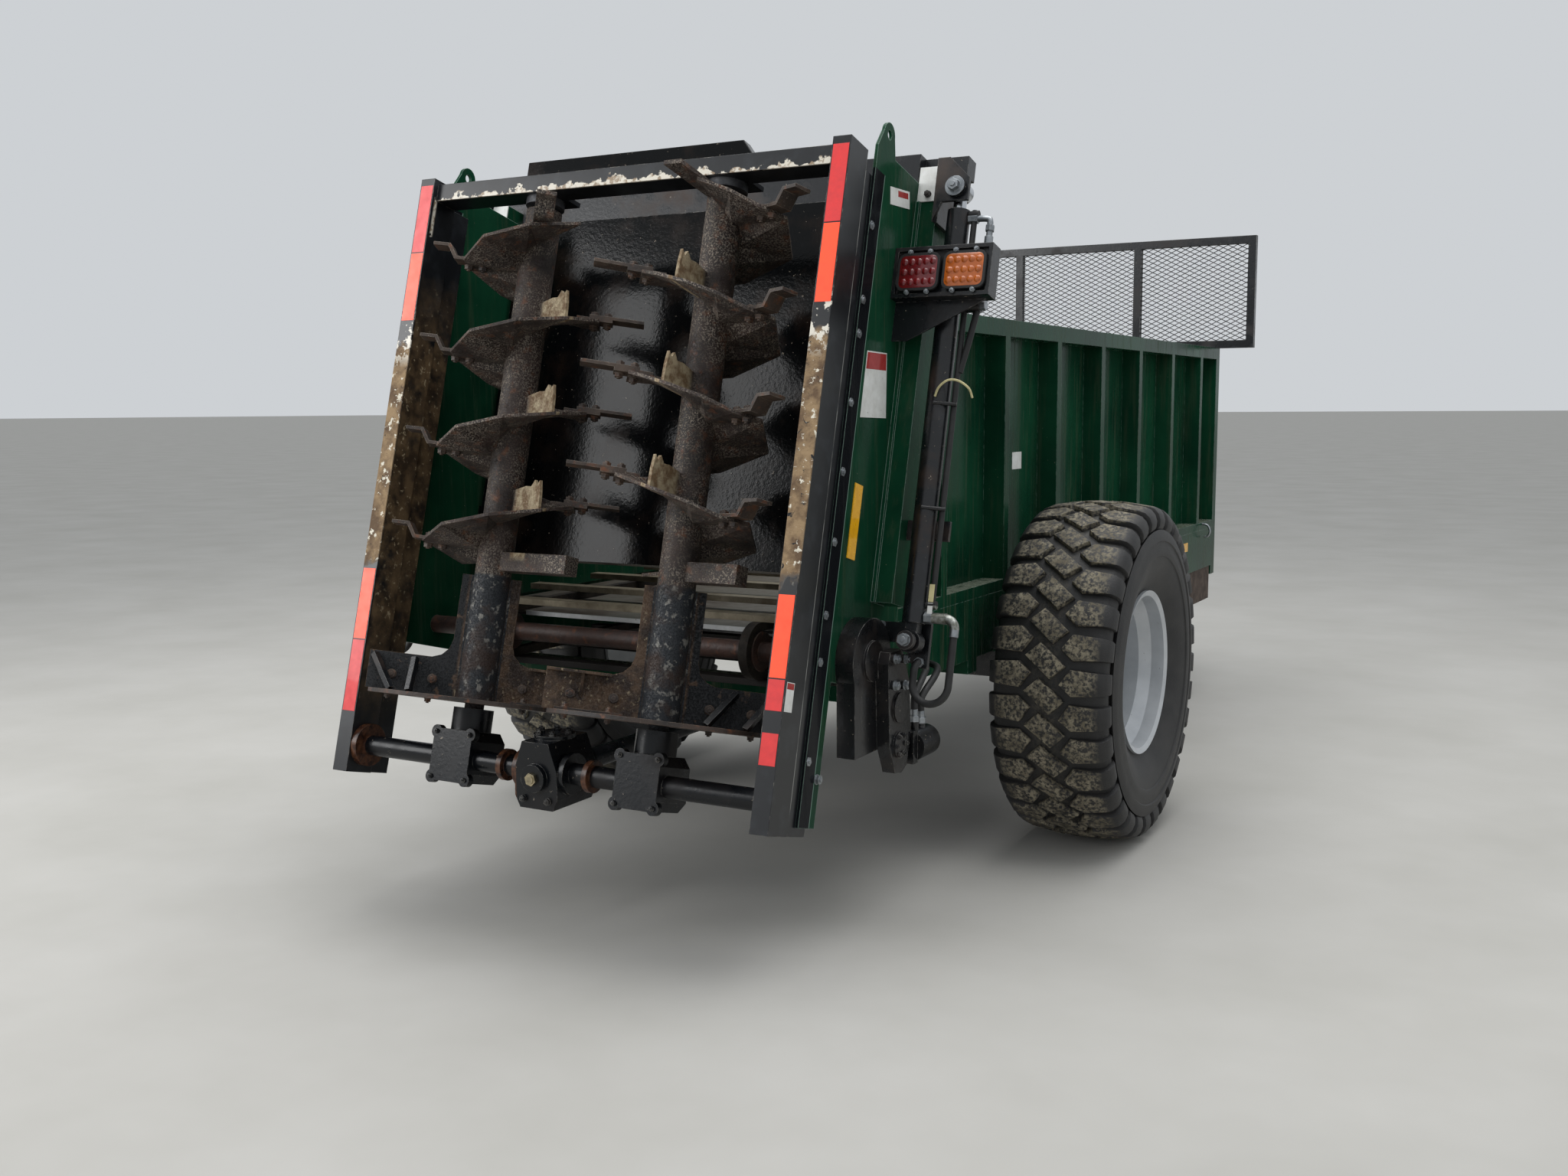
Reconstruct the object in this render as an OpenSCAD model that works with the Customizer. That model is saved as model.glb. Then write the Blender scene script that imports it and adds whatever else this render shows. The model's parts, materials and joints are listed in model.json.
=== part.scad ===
// Single axle manure spreader with a leaning rear frame and two upright beaters.
// Millimetres. X is to the right, Y is forward to the towing eye, Z is up from the ground.

/* [Load box] */
// half of the width over the ribs
box_half = 800; // [760:5:860]
// height of the side sheet with its rails above the floor
side_h = 982; // [850:1:1100]
// front face of the box, measured from the foot of the rear posts
box_front = 4990; // [4400:10:5400]
// depth of a side rib
rib_depth = 80; // [50:1:100]
// width of a side rib along the box
rib_width = 47; // [30:1:80]
// distance from one side rib to the next
rib_pitch = 569; // [450:1:640]
// first side rib, measured from the foot of the rear posts
rib_first = 1161; // [1140:1:1250]
// thickness of the side, front and floor sheets
sheet = 6; // [4:1:10]
// height of the top rail
rail_h = 60; // [40:1:80]

/* [Chassis] */
// height of the pads between the axle beam and the side sills
pad_h = 35; // [20:1:60]
// distance of the wheel axis from the foot of the rear posts
axle_y = 1950; // [1800:10:2600]
// size of the square axle beam
axle_size = 110; // [90:1:120]
// centre of the towing eye, measured from the foot of the rear posts
eye_y = 6180; // [5900:10:6500]
// height of the towing eye
eye_z = 420; // [380:5:440]
// radius of the hole in the towing eye
eye_hole_r = 25; // [20:1:30]
// where the parking jack stands, as a share of the length of the drawbar leg
jack_share = 0.546; // [0.5:0.002:0.6]

/* [Wheels] */
// outside radius of the tyre
tyre_r = 620; // [590:1:640]
// width of the tyre
tyre_w = 440; // [380:1:450]
// distance of the tyre's middle from the side of the box
wheel_gap = 295; // [280:1:340]
// radius of the rim flange
rim_r = 298; // [280:1:310]
// width of the rim over its flanges
rim_w = 350; // [300:1:360]
// depth of the tread blocks
lug_h = 18; // [8:1:24]
// number of tread blocks round the tyre in each column
lug_count = 30; // [24:1:32]

/* [Rear frame] */
// how far the rear posts lean forward, in degrees
lean = 14.85; // [10:0.05:18]
// how far the rear posts reach below the side sills
foot_drop = 265; // [250:1:290]
// length of the rear posts
post_len = 1965; // [1900:5:2050]
// width of a rear post
post_w = 58; // [50:1:64]
// depth of a rear post
post_d = 110; // [80:1:112]

/* [Gate] */
// distance of the gate behind face from the rear face of the posts
gate_off = 500; // [495:1:515]
// thickness of the gate with its ribs
gate_t = 50; // [30:1:54]
// lower edge of the gate along the lean
gate_low = 780; // [740:1:820]
// distance of the gate cylinders from the side of the box
ram_gap = 153; // [140:1:175]
// radius of the cylinder barrel
barrel_r = 35; // [30:1:38]
// radius of the cylinder rod
rod_r = 20; // [16:1:24]

/* [Drive line] */
// radius of the splined input stub
stub_r = 17.5; // [15:0.5:22.5]

/* [Beaters] */
// distance of each beater axis from the centre
beater_x = 345; // [342:1:360]
// distance of the beater axis from the rear face of the posts
beater_off = 100; // [90:1:110]
// radius of the beater tube
beater_tube_r = 57; // [50:1:60]
// outside radius of the flighting
flight_r = 230; // [180:1:250]
// thickness of the flighting
flight_t = 10; // [8:1:14]
// rise of the flighting in one turn
flight_pitch = 303; // [290:1:310]
// lowest edge of the flighting along the lean
flight_low = 700; // [695:1:740]
// reach of the outer knives, which have a raised tip, from the beater axis
knife_r = 335; // [300:1:338]
// reach of the inner straight knives
bar_knife_r = 365; // [320:1:375]
// width of a knife
knife_w = 60; // [40:1:70]
// reach of the fins over the spreading disc
fin_r = 340; // [300:1:350]
// radius of the spreading disc
disc_r = 325; // [280:1:332]
// underside of the spreading disc along the lean
disc_low = 260; // [256:1:270]

/* [Apron] */
// distance of the rear apron shaft from the foot of the posts
apron_rear_y = 500; // [495:1:520]
// distance of the front apron shaft from the foot of the posts
apron_front_y = 4790; // [4000:10:4800]
// height of the apron shafts above the underside of the side sills
apron_rise = 140; // [135:1:145]
// radius of the chain's middle line on the sprockets
chain_r = 75; // [70:1:78]
// distance of a chain from the centre
chain_x = 480; // [400:5:560]
// distance from one slat to the next
slat_pitch = 360; // [300:10:450]

/* [Hidden] */

// heights, from the tyre up
pad_low = tyre_r + axle_size / 2;
sill_bottom = pad_low + pad_h;
apron_z = sill_bottom + apron_rise;
floor_top = apron_z + 60;
box_top = floor_top + side_h;
foot_z = sill_bottom - foot_drop;
// places out from the side of the box
wheel_x = box_half + wheel_gap;
ram_x = box_half + ram_gap;
// the drawbar leg's line, and the jack beside it
leg_back = [560, box_front - 100];
leg_front = [95, eye_y - 210];
jack_y = leg_back[1] + (leg_front[1] - leg_back[1]) * jack_share;
leg_turn = atan((leg_back[0] - leg_front[0]) / (leg_front[1] - leg_back[1]));
jack_x = leg_back[0] + (leg_front[0] - leg_back[0]) * jack_share + 86.3 / cos(leg_turn);
// the row's origin is the middle of the bounding box on the ground
eye_ring_r = eye_hole_r + 27;
y_front = eye_y + eye_ring_r;
y_rear = disc_low * sin(lean) + (beater_off - disc_r) * cos(lean);
y_shift = -(y_front + y_rear) / 2;
// side sheets, sills and plates
sheet_x = box_half - rib_depth;
rib_count = floor((box_front - rib_first - 120) / rib_pitch) + 1;
ledge_z = floor_top + 10;
plate_t = 10;
plate_front = 640;
plate_top = post_len + 35;
wall_off = 600;
guide_x = box_half + 14;
guide_w = 62;
// running clearance of a shaft in its bore
run = 0.05;
// cylinders along the lean
pin_low = 590;
pin_top = post_len - 4;
barrel_top = pin_top - 60;
rod_low = pin_low + 110;
// beater stubs
stub_low = disc_low - 52;
tube_low = disc_low + 12;
tube_top = post_len - 110;
beam_low = post_len - 70;
cross_s = 90;
// ends of the floor, clear of the sprockets
floor_rear = apron_rear_y + 62;
floor_front = apron_front_y - 62;
// the two beaters, which aren't each other's mirror image. Angles are measured from the outer side
// through the rear to the inner side. Columns: outer knife, inner knife, height of the lowest outer
// knife, top of the flighting, stub bar, reach of the stub bar
RIGHT = [17.6, 142, 863, 1850, 0, 216];
LEFT = [27, 214, 754, 1775, 180, 300];
// half of the level stretch of the flighting under a knife, in degrees
level = 14;
// top of the fins beside the tube, and of their arms over the disc
fin_top = 660;
arm_top = disc_low + 130;
// lamps
lamp_low = post_len - 365;
lamp_h = 155;
// wheel values
hub_r = 95;
hub_in = rim_w / 2 + 8;
carcass_r = tyre_r - lug_h;
// drive line under the box
tee_y = cross_s * sin(lean) + beater_off * cos(lean);
tee_z = foot_z + cross_s * cos(lean) - beater_off * sin(lean);

// places a piece in the row frame
module place()
{
    translate([0, y_shift, 0])
        children();
}

// places a piece that stands in the lean of the rear frame: x, distance forward, distance up
module slant()
{
    translate([0, y_shift, foot_z])
        rotate([-lean, 0, 0])
            children();
}

module box(a, b)
{
    translate(a)
        cube(b - a);
}

// the same piece on both sides
module both()
{
    children();
    mirror([1, 0, 0])
        children();
}

// a round bar along X, from one place to another
module bar_x(x0, x1, y, z, r)
{
    translate([x0, y, z])
        rotate([0, 90, 0])
            cylinder(h = x1 - x0, r = r, $fn = 48);
}

// a round bar along Y
module bar_y(x, y0, y1, z, r)
{
    translate([x, y0, z])
        rotate([-90, 0, 0])
            cylinder(h = y1 - y0, r = r, $fn = 48);
}

// a flat plate across X, drawn by its corners in Y and Z
module plate_x(x0, x1, pts)
{
    translate([x0, 0, 0])
        rotate([90, 0, 90])
            linear_extrude(x1 - x0)
                polygon(pts);
}

// a plate across Y, drawn by its corners in X and Z
module plate_y(y0, y1, pts)
{
    translate([0, y1, 0])
        rotate([90, 0, 0])
            linear_extrude(y1 - y0)
                polygon(pts);
}

// a square bar from one point to another
module strut(a, b, w, h)
{
    d = b - a;
    len = norm(d);
    translate(a)
        rotate([0, -asin(d[2] / len), atan2(d[1], d[0])])
            translate([0, -w / 2, -h / 2])
                cube([len, w, h]);
}

// y of a point on the lean at a height
function lean_y(off, z) = (off + (z - foot_z) * sin(lean)) / cos(lean);

// one side of the load box: a sheet with rails and ribs, cut as windows from one thick plate
module side_wall()
{
    rear_low = lean_y(wall_off, ledge_z);
    rear_high = lean_y(wall_off, box_top);
    bay_low = ledge_z + 40;
    bay_high = box_top - rail_h;
    color("darkgreen")
        place()
            difference()
            {
                plate_x(sheet_x - sheet, box_half, [[rear_low, ledge_z], [box_front, ledge_z],
                    [box_front, box_top], [rear_high, box_top]]);
                box([sheet_x - sheet - 1, box_front - 60, ledge_z - 1],
                    [sheet_x, box_front + 1, box_top + 1]);
                plate_x(sheet_x, box_half + 1, [[lean_y(wall_off, bay_low) + 45, bay_low],
                    [rib_first, bay_low],
                    [rib_first, bay_high], [lean_y(wall_off, bay_high) + 45, bay_high]]);
                for (i = [0:rib_count - 1])
                    box([sheet_x, rib_first + i * rib_pitch + rib_width, bay_low],
                        [box_half + 1, min(rib_first + (i + 1) * rib_pitch, box_front - 70), bay_high]);
            }
}

module right_side_wall()
{
    side_wall();
}

module left_side_wall()
{
    mirror([1, 0, 0])
        side_wall();
}

module front_wall()
{
    color("darkgreen")
        place()
        {
            box([-sheet_x, box_front - 60, ledge_z], [sheet_x, box_front - 60 + sheet, box_top]);
            box([-sheet_x, box_front - 54, box_top - rail_h], [sheet_x, box_front, box_top]);
            box([-sheet_x, box_front - 54, ledge_z], [sheet_x, box_front, ledge_z + 60]);
            plate_x(-sheet_x + sheet, sheet_x - sheet, [[box_front - 60, ledge_z + 90],
                [apron_front_y - 100, ledge_z + 58], [apron_front_y - 100, ledge_z + 52],
                [box_front - 60, ledge_z + 84]]);
            for (x = [-390, 0, 390])
                box([x - 30, box_front - 54, ledge_z + 60], [x + 30, box_front - 4, box_top - rail_h]);
        }
}

module box_floor()
{
    color("dimgray")
        place()
        {
            box([-sheet_x, floor_rear, floor_top - sheet], [sheet_x, floor_front, floor_top]);
            for (i = [0:8])
                box([-sheet_x, 800 + i * 460, floor_top - sheet - 50],
                    [sheet_x, 850 + i * 460, floor_top - sheet]);
        }
}

module chassis_frame()
{
    color("darkgreen")
        place()
        {
            both()
            {
                box([sheet_x, lean_y(plate_front, sill_bottom) + 20, sill_bottom],
                    [box_half, box_front, ledge_z]);
                box([sheet_x, axle_y - 130, pad_low], [box_half - 5, axle_y + 130, sill_bottom]);
            }
            for (y = [760, 1400, 2900, 3900, box_front - 80])
                box([-box_half, y, sill_bottom - 50], [box_half, y + 80, sill_bottom]);
        }
}

module front_skirts()
{
    color("saddlebrown")
        place()
            both()
                box([box_half - 20, box_front - 560, sill_bottom - 180],
                    [box_half - 5, box_front - 90, sill_bottom]);
}

module drawbar()
{
    z0 = sill_bottom - 50 - 60;
    color("darkgreen")
        place()
        {
            both()
            {
                strut([560, 3900, z0], [560, box_front - 20, z0], 100, 120);
                strut([leg_back[0], leg_back[1], z0], [leg_front[0], leg_front[1], eye_z], 90, 100);
            }
            box([-140, eye_y - 330, eye_z - 40], [140, eye_y - 110, eye_z + 40]);
            box([-520, box_front - 100, z0 - 20], [520, box_front - 10, z0 + 60]);
            box([jack_x - 110, jack_y - 45, 480], [jack_x - 38.3, jack_y + 45, 560]);
        }
}

module towing_eye()
{
    color("dimgray")
        place()
        {
            difference()
            {
                union()
                {
                    translate([0, eye_y, eye_z - 22])
                        cylinder(h = 44, r = eye_ring_r, $fn = 64);
                    box([-32, eye_y - 110, eye_z - 22], [32, eye_y - 20, eye_z + 22]);
                }
                translate([0, eye_y, eye_z - 30])
                    cylinder(h = 60, r = eye_hole_r, $fn = 64);
            }
            box([-90, eye_y - 110, eye_z - 40], [90, eye_y - 85, eye_z + 40]);
        }
}

module parking_jack()
{
    jx = jack_x;
    jy = jack_y;
    color("dimgray")
        place()
        {
            difference()
            {
                translate([jx, jy, 330])
                    cylinder(h = 470, r = 38, $fn = 48);
                translate([jx, jy, 320])
                    cylinder(h = 430, r = 31, $fn = 48);
            }
            bar_x(jx + 30, jx + 110, jy, 765, 12);
            box([jx + 98, jy - 10, 640], [jx + 110, jy + 10, 780]);
        }
}

module jack_leg()
{
    jx = jack_x;
    jy = jack_y;
    color("dimgray")
        place()
        {
            translate([jx, jy, 12])
                cylinder(h = 700, r = 30.7, $fn = 48);
            box([jx - 100, jy - 100, 0], [jx + 100, jy + 100, 12]);
        }
}

module axle_beam()
{
    a = axle_size / 2;
    color("black")
        place()
        {
            box([-box_half - 30, axle_y - a, tyre_r - a], [box_half + 30, axle_y + a, tyre_r + a]);
            both()
                bar_x(box_half + 30, wheel_x - hub_in + 115, axle_y, tyre_r, 42);
        }
}

module rear_frame()
{
    color("black")
        slant()
        {
            both()
            {
                box([box_half - post_w, 0, 0], [box_half, post_d, post_len]);
                box([box_half - 32, post_d, 0], [box_half, post_d + 100, post_len - 60]);
            }
            box([-box_half + post_w, 20, beam_low], [box_half - post_w, post_d, beam_low + 55]);
            both()
                box([beater_x - 80, post_d, beam_low], [beater_x + 80, beater_off + 75, beam_low + 15]);
        }
}

module side_plates()
{
    color("darkgreen")
        slant()
            both()
            {
                difference()
                {
                    plate_x(box_half, box_half + plate_t, [[150, 25], [245, 25], [245, 440],
                        [plate_front, 440],
                        [plate_front, plate_top], [150, plate_top]]);
                    translate([box_half - 5, lean_off(apron_rear_y, apron_z), lean_up(apron_rear_y,
                        apron_z)])
                        rotate([0, 90, 0])
                            cylinder(h = 40, r = 30 + run, $fn = 48);
                }
                box([guide_x - 4, 450, 700], [guide_x + guide_w, 540, plate_top + 50]);
                box([box_half + plate_t, 440, 700], [box_half + plate_t + 12, 450, plate_top - 60]);
                difference()
                {
                    union()
                    {
                        plate_x(box_half, box_half + plate_t, [[150, plate_top], [270, plate_top],
                            [250, plate_top + 60], [180, plate_top + 60]]);
                        bar_x(box_half, box_half + plate_t, 215, plate_top + 55, 36);
                    }
                    translate([box_half - 5, 215, plate_top + 55])
                        rotate([0, 90, 0])
                            cylinder(h = 40, r = 14, $fn = 32);
                }
            }
}

// position in the lean of a point given in the machine's own Y and Z
function lean_off(y, z) = y * cos(lean) - (z - foot_z) * sin(lean);
function lean_up(y, z) = y * sin(lean) + (z - foot_z) * cos(lean);

module guide_caps()
{
    color("white")
        slant()
            both()
                box([guide_x - 4, 446, plate_top - 60], [guide_x + guide_w, 450, plate_top + 50]);
}

module cylinder_barrels()
{
    color("black")
        slant()
            both()
            {
                difference()
                {
                    translate([ram_x, 450, pin_low + 55])
                        cylinder(h = barrel_top - pin_low - 55, r = barrel_r, $fn = 64);
                    translate([ram_x, 450, rod_low - 10])
                        cylinder(h = pin_top - pin_low, r = rod_r + run, $fn = 64);
                }
                difference()
                {
                    union()
                    {
                        box([ram_x - 20, 432, pin_low], [ram_x + 20, 468, pin_low + 56]);
                        bar_y(ram_x, 430, 470, pin_low, 34);
                    }
                    bar_y(ram_x, 420, 480, pin_low, 15 + run);
                }
            }
}

module cylinder_brackets()
{
    color("black")
        slant()
            both()
            {
                plate_y(490, 505, [[box_half + plate_t, pin_low + 60], [box_half + plate_t, pin_low],
                    [ram_x - 27, pin_low], [ram_x - 27, pin_low - 34], [ram_x - 5, pin_low - 72],
                    [ram_x + 40, pin_low - 72], [ram_x + 40, pin_low + 60]]);
                bar_y(ram_x, 400, 490, pin_low, 15);
                bar_y(ram_x, 400, 418, pin_low, 28);
                box([guide_x + guide_w, 500, 900], [ram_x + 60, 512, 960]);
                box([ram_x - 20, 450 + barrel_r + 0.3, 905], [ram_x + 20, 500, 955]);
            }
}

// a bent length of hose or pipe, round the origin, from one angle on
module bend(from, span, bend_r, r)
{
    rotate([0, 0, from])
        rotate_extrude(angle = span, $fn = 48)
            translate([bend_r, 0])
                circle(r = r, $fn = 32);
}

// a clipped pipe up each cylinder, and a hose from its lower port down in a loop to the bracket
module hydraulic_lines()
{
    port = pin_low + 74;
    outer_x = ram_x + 130;
    inner_x = ram_x + 18;
    color("dimgray")
        slant()
            both()
            {
                translate([ram_x + 52, 450, pin_low + 100])
                    cylinder(h = pin_top - pin_low - 162, r = 9, $fn = 32);
                for (s = [pin_low + 112, pin_top - 74])
                    bar_x(ram_x + barrel_r + 0.3, ram_x + 66, 450, s, 12);
                bar_x(ram_x + barrel_r + 0.3, outer_x - 27, 450, port, 16);
                translate([outer_x - 30, 450, port - 30])
                    rotate([90, 0, 0])
                        bend(0, 90, 30, 14);
                translate([outer_x, 450, pin_low - 120])
                    cylinder(h = port - 27 - pin_low + 120, r = 11, $fn = 32);
                translate([(outer_x + inner_x) / 2, 450, pin_low - 120])
                    rotate([90, 0, 0])
                        bend(180, 180, (outer_x - inner_x) / 2, 11);
                translate([inner_x, 450, pin_low - 120])
                    cylinder(h = 35, r = 11, $fn = 32);
                translate([inner_x, 480, pin_low - 85])
                    rotate([90, 0, 90])
                        bend(90, 90, 30, 11);
                bar_y(inner_x, 480, 489.7, pin_low - 55, 11);
            }
}

module apron_gearbox()
{
    y = apron_rear_y;
    z = apron_z;
    x = box_half + plate_t;
    color("black")
        place()
        {
            bar_x(x, x + 58, y, z, 125);
            bar_x(x + 58, x + 66, y, z, 60);
            box([x, y - 115, z - 270], [x + 58, y + 115, z]);
            plate_x(x + 58, x + 100, [[y + 20, z - 10], [y + 34, z + 22], [y + 116, z + 22],
                [y + 138, z - 16],
                [y + 170, z - 90], [y + 178, z - 250], [y + 150, z - 335], [y + 110, z - 352],
                [y + 70, z - 345],
                [y + 30, z - 260]]);
            for (q = [[42, 4], [112, -6], [38, -74], [108, -84]])
                bar_x(x + 100, x + 112, y + q[0], z + q[1], 13);
            bar_x(x + 100, x + 108, y + 96, z - 150, 46);
            bar_x(x + 100, x + 108, y + 92, z - 262, 40);
        }
}

module apron_motor()
{
    y = apron_rear_y + 178;
    z = apron_z - 300;
    x = box_half + plate_t + 60;
    color("dimgray")
        place()
        {
            box([x, y, z - 40], [x + 50, y + 30, z + 60]);
            bar_y(x + 25, y + 30, y + 150, z + 8, 48);
            for (q = [[58, 44], [108, 30]])
                translate([x + 25, y + q[0], z + 40])
                    cylinder(h = q[1], r = 15, $fn = 32);
        }
}

module apron_shafts()
{
    color("dimgray")
        place()
        {
            bar_x(-box_half - plate_t, box_half + plate_t, apron_rear_y, apron_z, 30);
            bar_x(-box_half - plate_t - 30, -box_half - plate_t, apron_rear_y, apron_z, 60);
            bar_x(-sheet_x, sheet_x, apron_front_y, apron_z, 25);
            for (x = [-chain_x, chain_x])
                for (y = [apron_rear_y, apron_front_y])
                    bar_x(x - 20, x + 20, y, apron_z, chain_r - 14);
        }
}

module loop_outline(r)
{
    translate([apron_rear_y, apron_z])
        circle(r = r, $fn = 64);
    translate([apron_front_y, apron_z])
        circle(r = r, $fn = 64);
    translate([apron_rear_y, apron_z - r])
        square([apron_front_y - apron_rear_y, 2 * r]);
}

module apron_chains()
{
    color("gray")
        place()
            for (x = [-chain_x, chain_x])
                translate([x - 15, 0, 0])
                    rotate([90, 0, 90])
                        linear_extrude(30)
                            difference()
                            {
                                loop_outline(chain_r + 14);
                                loop_outline(chain_r - 14);
                            }
}

module apron_slats()
{
    top = apron_z + chain_r;
    low = apron_z - chain_r;
    count = floor((apron_front_y - apron_rear_y - 60) / slat_pitch) + 1;
    color("gray")
        place()
            for (i = [0:count - 1])
            {
                y = apron_rear_y + 30 + i * slat_pitch;
                box([-sheet_x + 40, y - 25, top + 14], [sheet_x - 40, y + 25, top + 34]);
                box([-sheet_x + 40, y - 25, low - 34], [sheet_x - 40, y + 25, low - 14]);
            }
}

module beater_gearboxes()
{
    color("black")
    {
        slant()
        {
            both()
            {
                plate_y(beater_off - 80, beater_off + 80, [[beater_x - 75, 45], [beater_x - 52, 15],
                    [beater_x + 52, 15], [beater_x + 75, 45], [beater_x + 75, 145], [beater_x + 52, 175],
                    [beater_x - 52, 175], [beater_x - 75, 145]]);
                for (x = [-66, 66])
                    for (s = [26, 164])
                        difference()
                        {
                            bar_y(beater_x + x, beater_off - 80, beater_off - 58, s, 20);
                            bar_y(beater_x + x, beater_off - 90, beater_off - 50, s, 7);
                        }
                difference()
                {
                    translate([beater_x, beater_off, 175])
                        cylinder(h = disc_low - 15 - 175, r = 62, $fn = 48);
                    translate([beater_x, beater_off, stub_low - 3])
                        cylinder(h = 100, r = 30 + run, $fn = 48);
                }
                bar_x(beater_x + 75, box_half - post_w, beater_off - 30, cross_s, 32);
            }
            bar_x(-box_half + post_w, -box_half + post_w + 22, beater_off - 30, cross_s, 68);
            both()
            {
                bar_x(70, beater_x - 75, beater_off - 30, cross_s, 32);
                bar_x(76, 94, beater_off - 30, cross_s, 62);
                bar_x(150, 168, beater_off - 30, cross_s, 48);
            }
        }
        place()
        {
            plate_y(tee_y - 95, tee_y + 95, [[-60, tee_z - 95], [60, tee_z - 95], [78, tee_z - 60],
                [78, tee_z + 20], [48, tee_z + 105], [-48, tee_z + 105], [-78, tee_z + 20],
                [-78, tee_z - 60]]);
            translate([0, tee_y, tee_z + 105])
                cylinder(h = 12, r = 62, $fn = 48);
            bar_y(0, tee_y - 112, tee_y - 95, tee_z, 42);
            difference()
            {
                bar_y(0, tee_y + 95, tee_y + 140, tee_z, 55);
                bar_y(0, tee_y + 100, tee_y + 150, tee_z, 25 + run);
            }
        }
    }
}

module beater_bearings()
{
    color("dimgray")
        slant()
            both()
                difference()
                {
                    translate([beater_x, beater_off, beam_low - 25])
                        cylinder(h = 25, r = 62, $fn = 48);
                    translate([beater_x, beater_off, beam_low - 30])
                        cylinder(h = 40, r = 25 + run, $fn = 48);
                }
}

module shaft_bearings()
{
    color("dimgray")
        place()
            for (y = [1410, 2910, box_front - 160])
                difference()
                {
                    box([-70, y, tee_z - 60], [70, y + 60, sill_bottom - 50]);
                    bar_y(0, y - 10, y + 70, tee_z, 25 + run);
                }
}

module lamp_boxes()
{
    color("black")
        slant()
            both()
            {
                difference()
                {
                    box([box_half + plate_t, 340, lamp_low], [box_half + 320, 400, lamp_low + lamp_h]);
                    box([box_half + 22, 330, lamp_low + 12],
                        [box_half + 308, 352, lamp_low + lamp_h - 12]);
                }
                plate_y(380, 386, [[box_half + plate_t, lamp_low], [box_half + plate_t, lamp_low - 120],
                    [box_half + 60, lamp_low - 120], [box_half + 300, lamp_low]]);
                box([box_half + plate_t, 400, lamp_low + 40], [box_half + 30, 440, lamp_low + 100]);
            }
}

module tail_lamps()
{
    color("red")
        slant()
            both()
                box([box_half + 35, 332, lamp_low + 25], [box_half + 155, 352, lamp_low + 125]);
}

module indicator_lamps()
{
    color("orange")
        slant()
            both()
                box([box_half + 180, 332, lamp_low + 25], [box_half + 300, 352, lamp_low + 125]);
}

module side_reflectors()
{
    color("yellow")
    {
        slant()
            both()
                box([box_half + plate_t, 250, 800], [box_half + plate_t + 3, 300, 1020]);
        place()
            both()
                box([box_half, box_front - 700, ledge_z - 90],
                    [box_half + 4, box_front - 600, ledge_z - 45]);
    }
}

module guard_frame()
{
    y = box_front - 20;
    top = box_top + 593;
    color("black")
        place()
        {
            box([-985, y - 20, box_top], [985, y + 20, box_top + 40]);
            box([-985, y - 20, top - 40], [985, y + 20, top]);
            for (x = [-985, -365, 325, 945])
                box([x, y - 20, box_top + 40], [x + 40, y + 20, top - 40]);
        }
}

// one bay of the mesh: diamonds with bars between them, closed by a border
module mesh_bay(w, h)
{
    a = w / 4;
    b = h / 4;
    difference()
    {
        square([w, h]);
        for (i = [0:8])
            for (j = [0:8])
                if ((i + j) % 2 == 1)
                    translate([i * a / 2, j * b / 2])
                        polygon([[9 - a / 2, 0], [0, 9 - b / 2], [a / 2 - 9, 0], [0, b / 2 - 9]]);
    }
    for (x = [0, w - 10])
        translate([x, 0])
            square([10, h]);
    for (z = [0, h - 10])
        translate([0, z])
            square([w, 10]);
}

module guard_mesh()
{
    color("dimgray")
        place()
            for (x = [-945, -325, 365])
                translate([x, box_front - 17, box_top + 40])
                    rotate([90, 0, 0])
                        linear_extrude(6)
                            mesh_bay(x == -325 ? 650 : 580, 513);
}

module gate_panel()
{
    gx = box_half - 20;
    color("black")
        slant()
        {
            box([-gx, gate_off, gate_low], [gx, gate_off + 6, plate_top - 10]);
            box([-gx, gate_off + 6, gate_low], [gx, gate_off + gate_t, gate_low + 40]);
            for (x = [-gx, -420, -20, 380, gx - 40])
                box([x, gate_off + 6, gate_low + 40], [x + 40, gate_off + gate_t, plate_top - 10]);
            both()
                for (s = [gate_low + 60, plate_top - 200])
                    box([gx, gate_off + 10, s], [box_half - 0.3, gate_off + gate_t, s + 120]);
        }
}

module gate_beam()
{
    gx = box_half - 20;
    color("black")
        slant()
        {
            box([-ram_x + 30, gate_off + 45, plate_top + 55],
                [ram_x - 30, gate_off + 105, plate_top + 120]);
            box([-gx, gate_off, plate_top - 10], [gx, gate_off + 45, plate_top + 120]);
            both()
            {
                plate_y(410, 422, [[ram_x - 70, plate_top + 60], [ram_x - 30, plate_top + 60],
                    [ram_x + 40, pin_top + 30],
                    [ram_x + 40, pin_top - 40], [ram_x - 45, pin_top - 40], [ram_x - 70, pin_top - 100]]);
                plate_y(422, 560, [[ram_x - 70, plate_top + 60], [ram_x - 58, plate_top + 60],
                    [ram_x - 58, pin_top - 100],
                    [ram_x - 70, pin_top - 100]]);
                bar_y(ram_x, 395, 480, pin_top, 14);
                bar_y(ram_x, 395, 410, pin_top, 28);
            }
        }
}

module cylinder_rods()
{
    color("silver")
        slant()
            both()
            {
                translate([ram_x, 450, rod_low])
                    cylinder(h = pin_top - 20 - rod_low, r = rod_r, $fn = 64);
                difference()
                {
                    bar_y(ram_x, 428, 472, pin_top, 32);
                    bar_y(ram_x, 420, 480, pin_top, 14 + run);
                }
            }
}

// height of the seat of a beater's outer knife in a turn, and of its inner knife
function seat(b, k, turn) = b[2] + (k + turn) * flight_pitch;
function inner(b) = (b[1] - b[0]) / 360;

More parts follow.
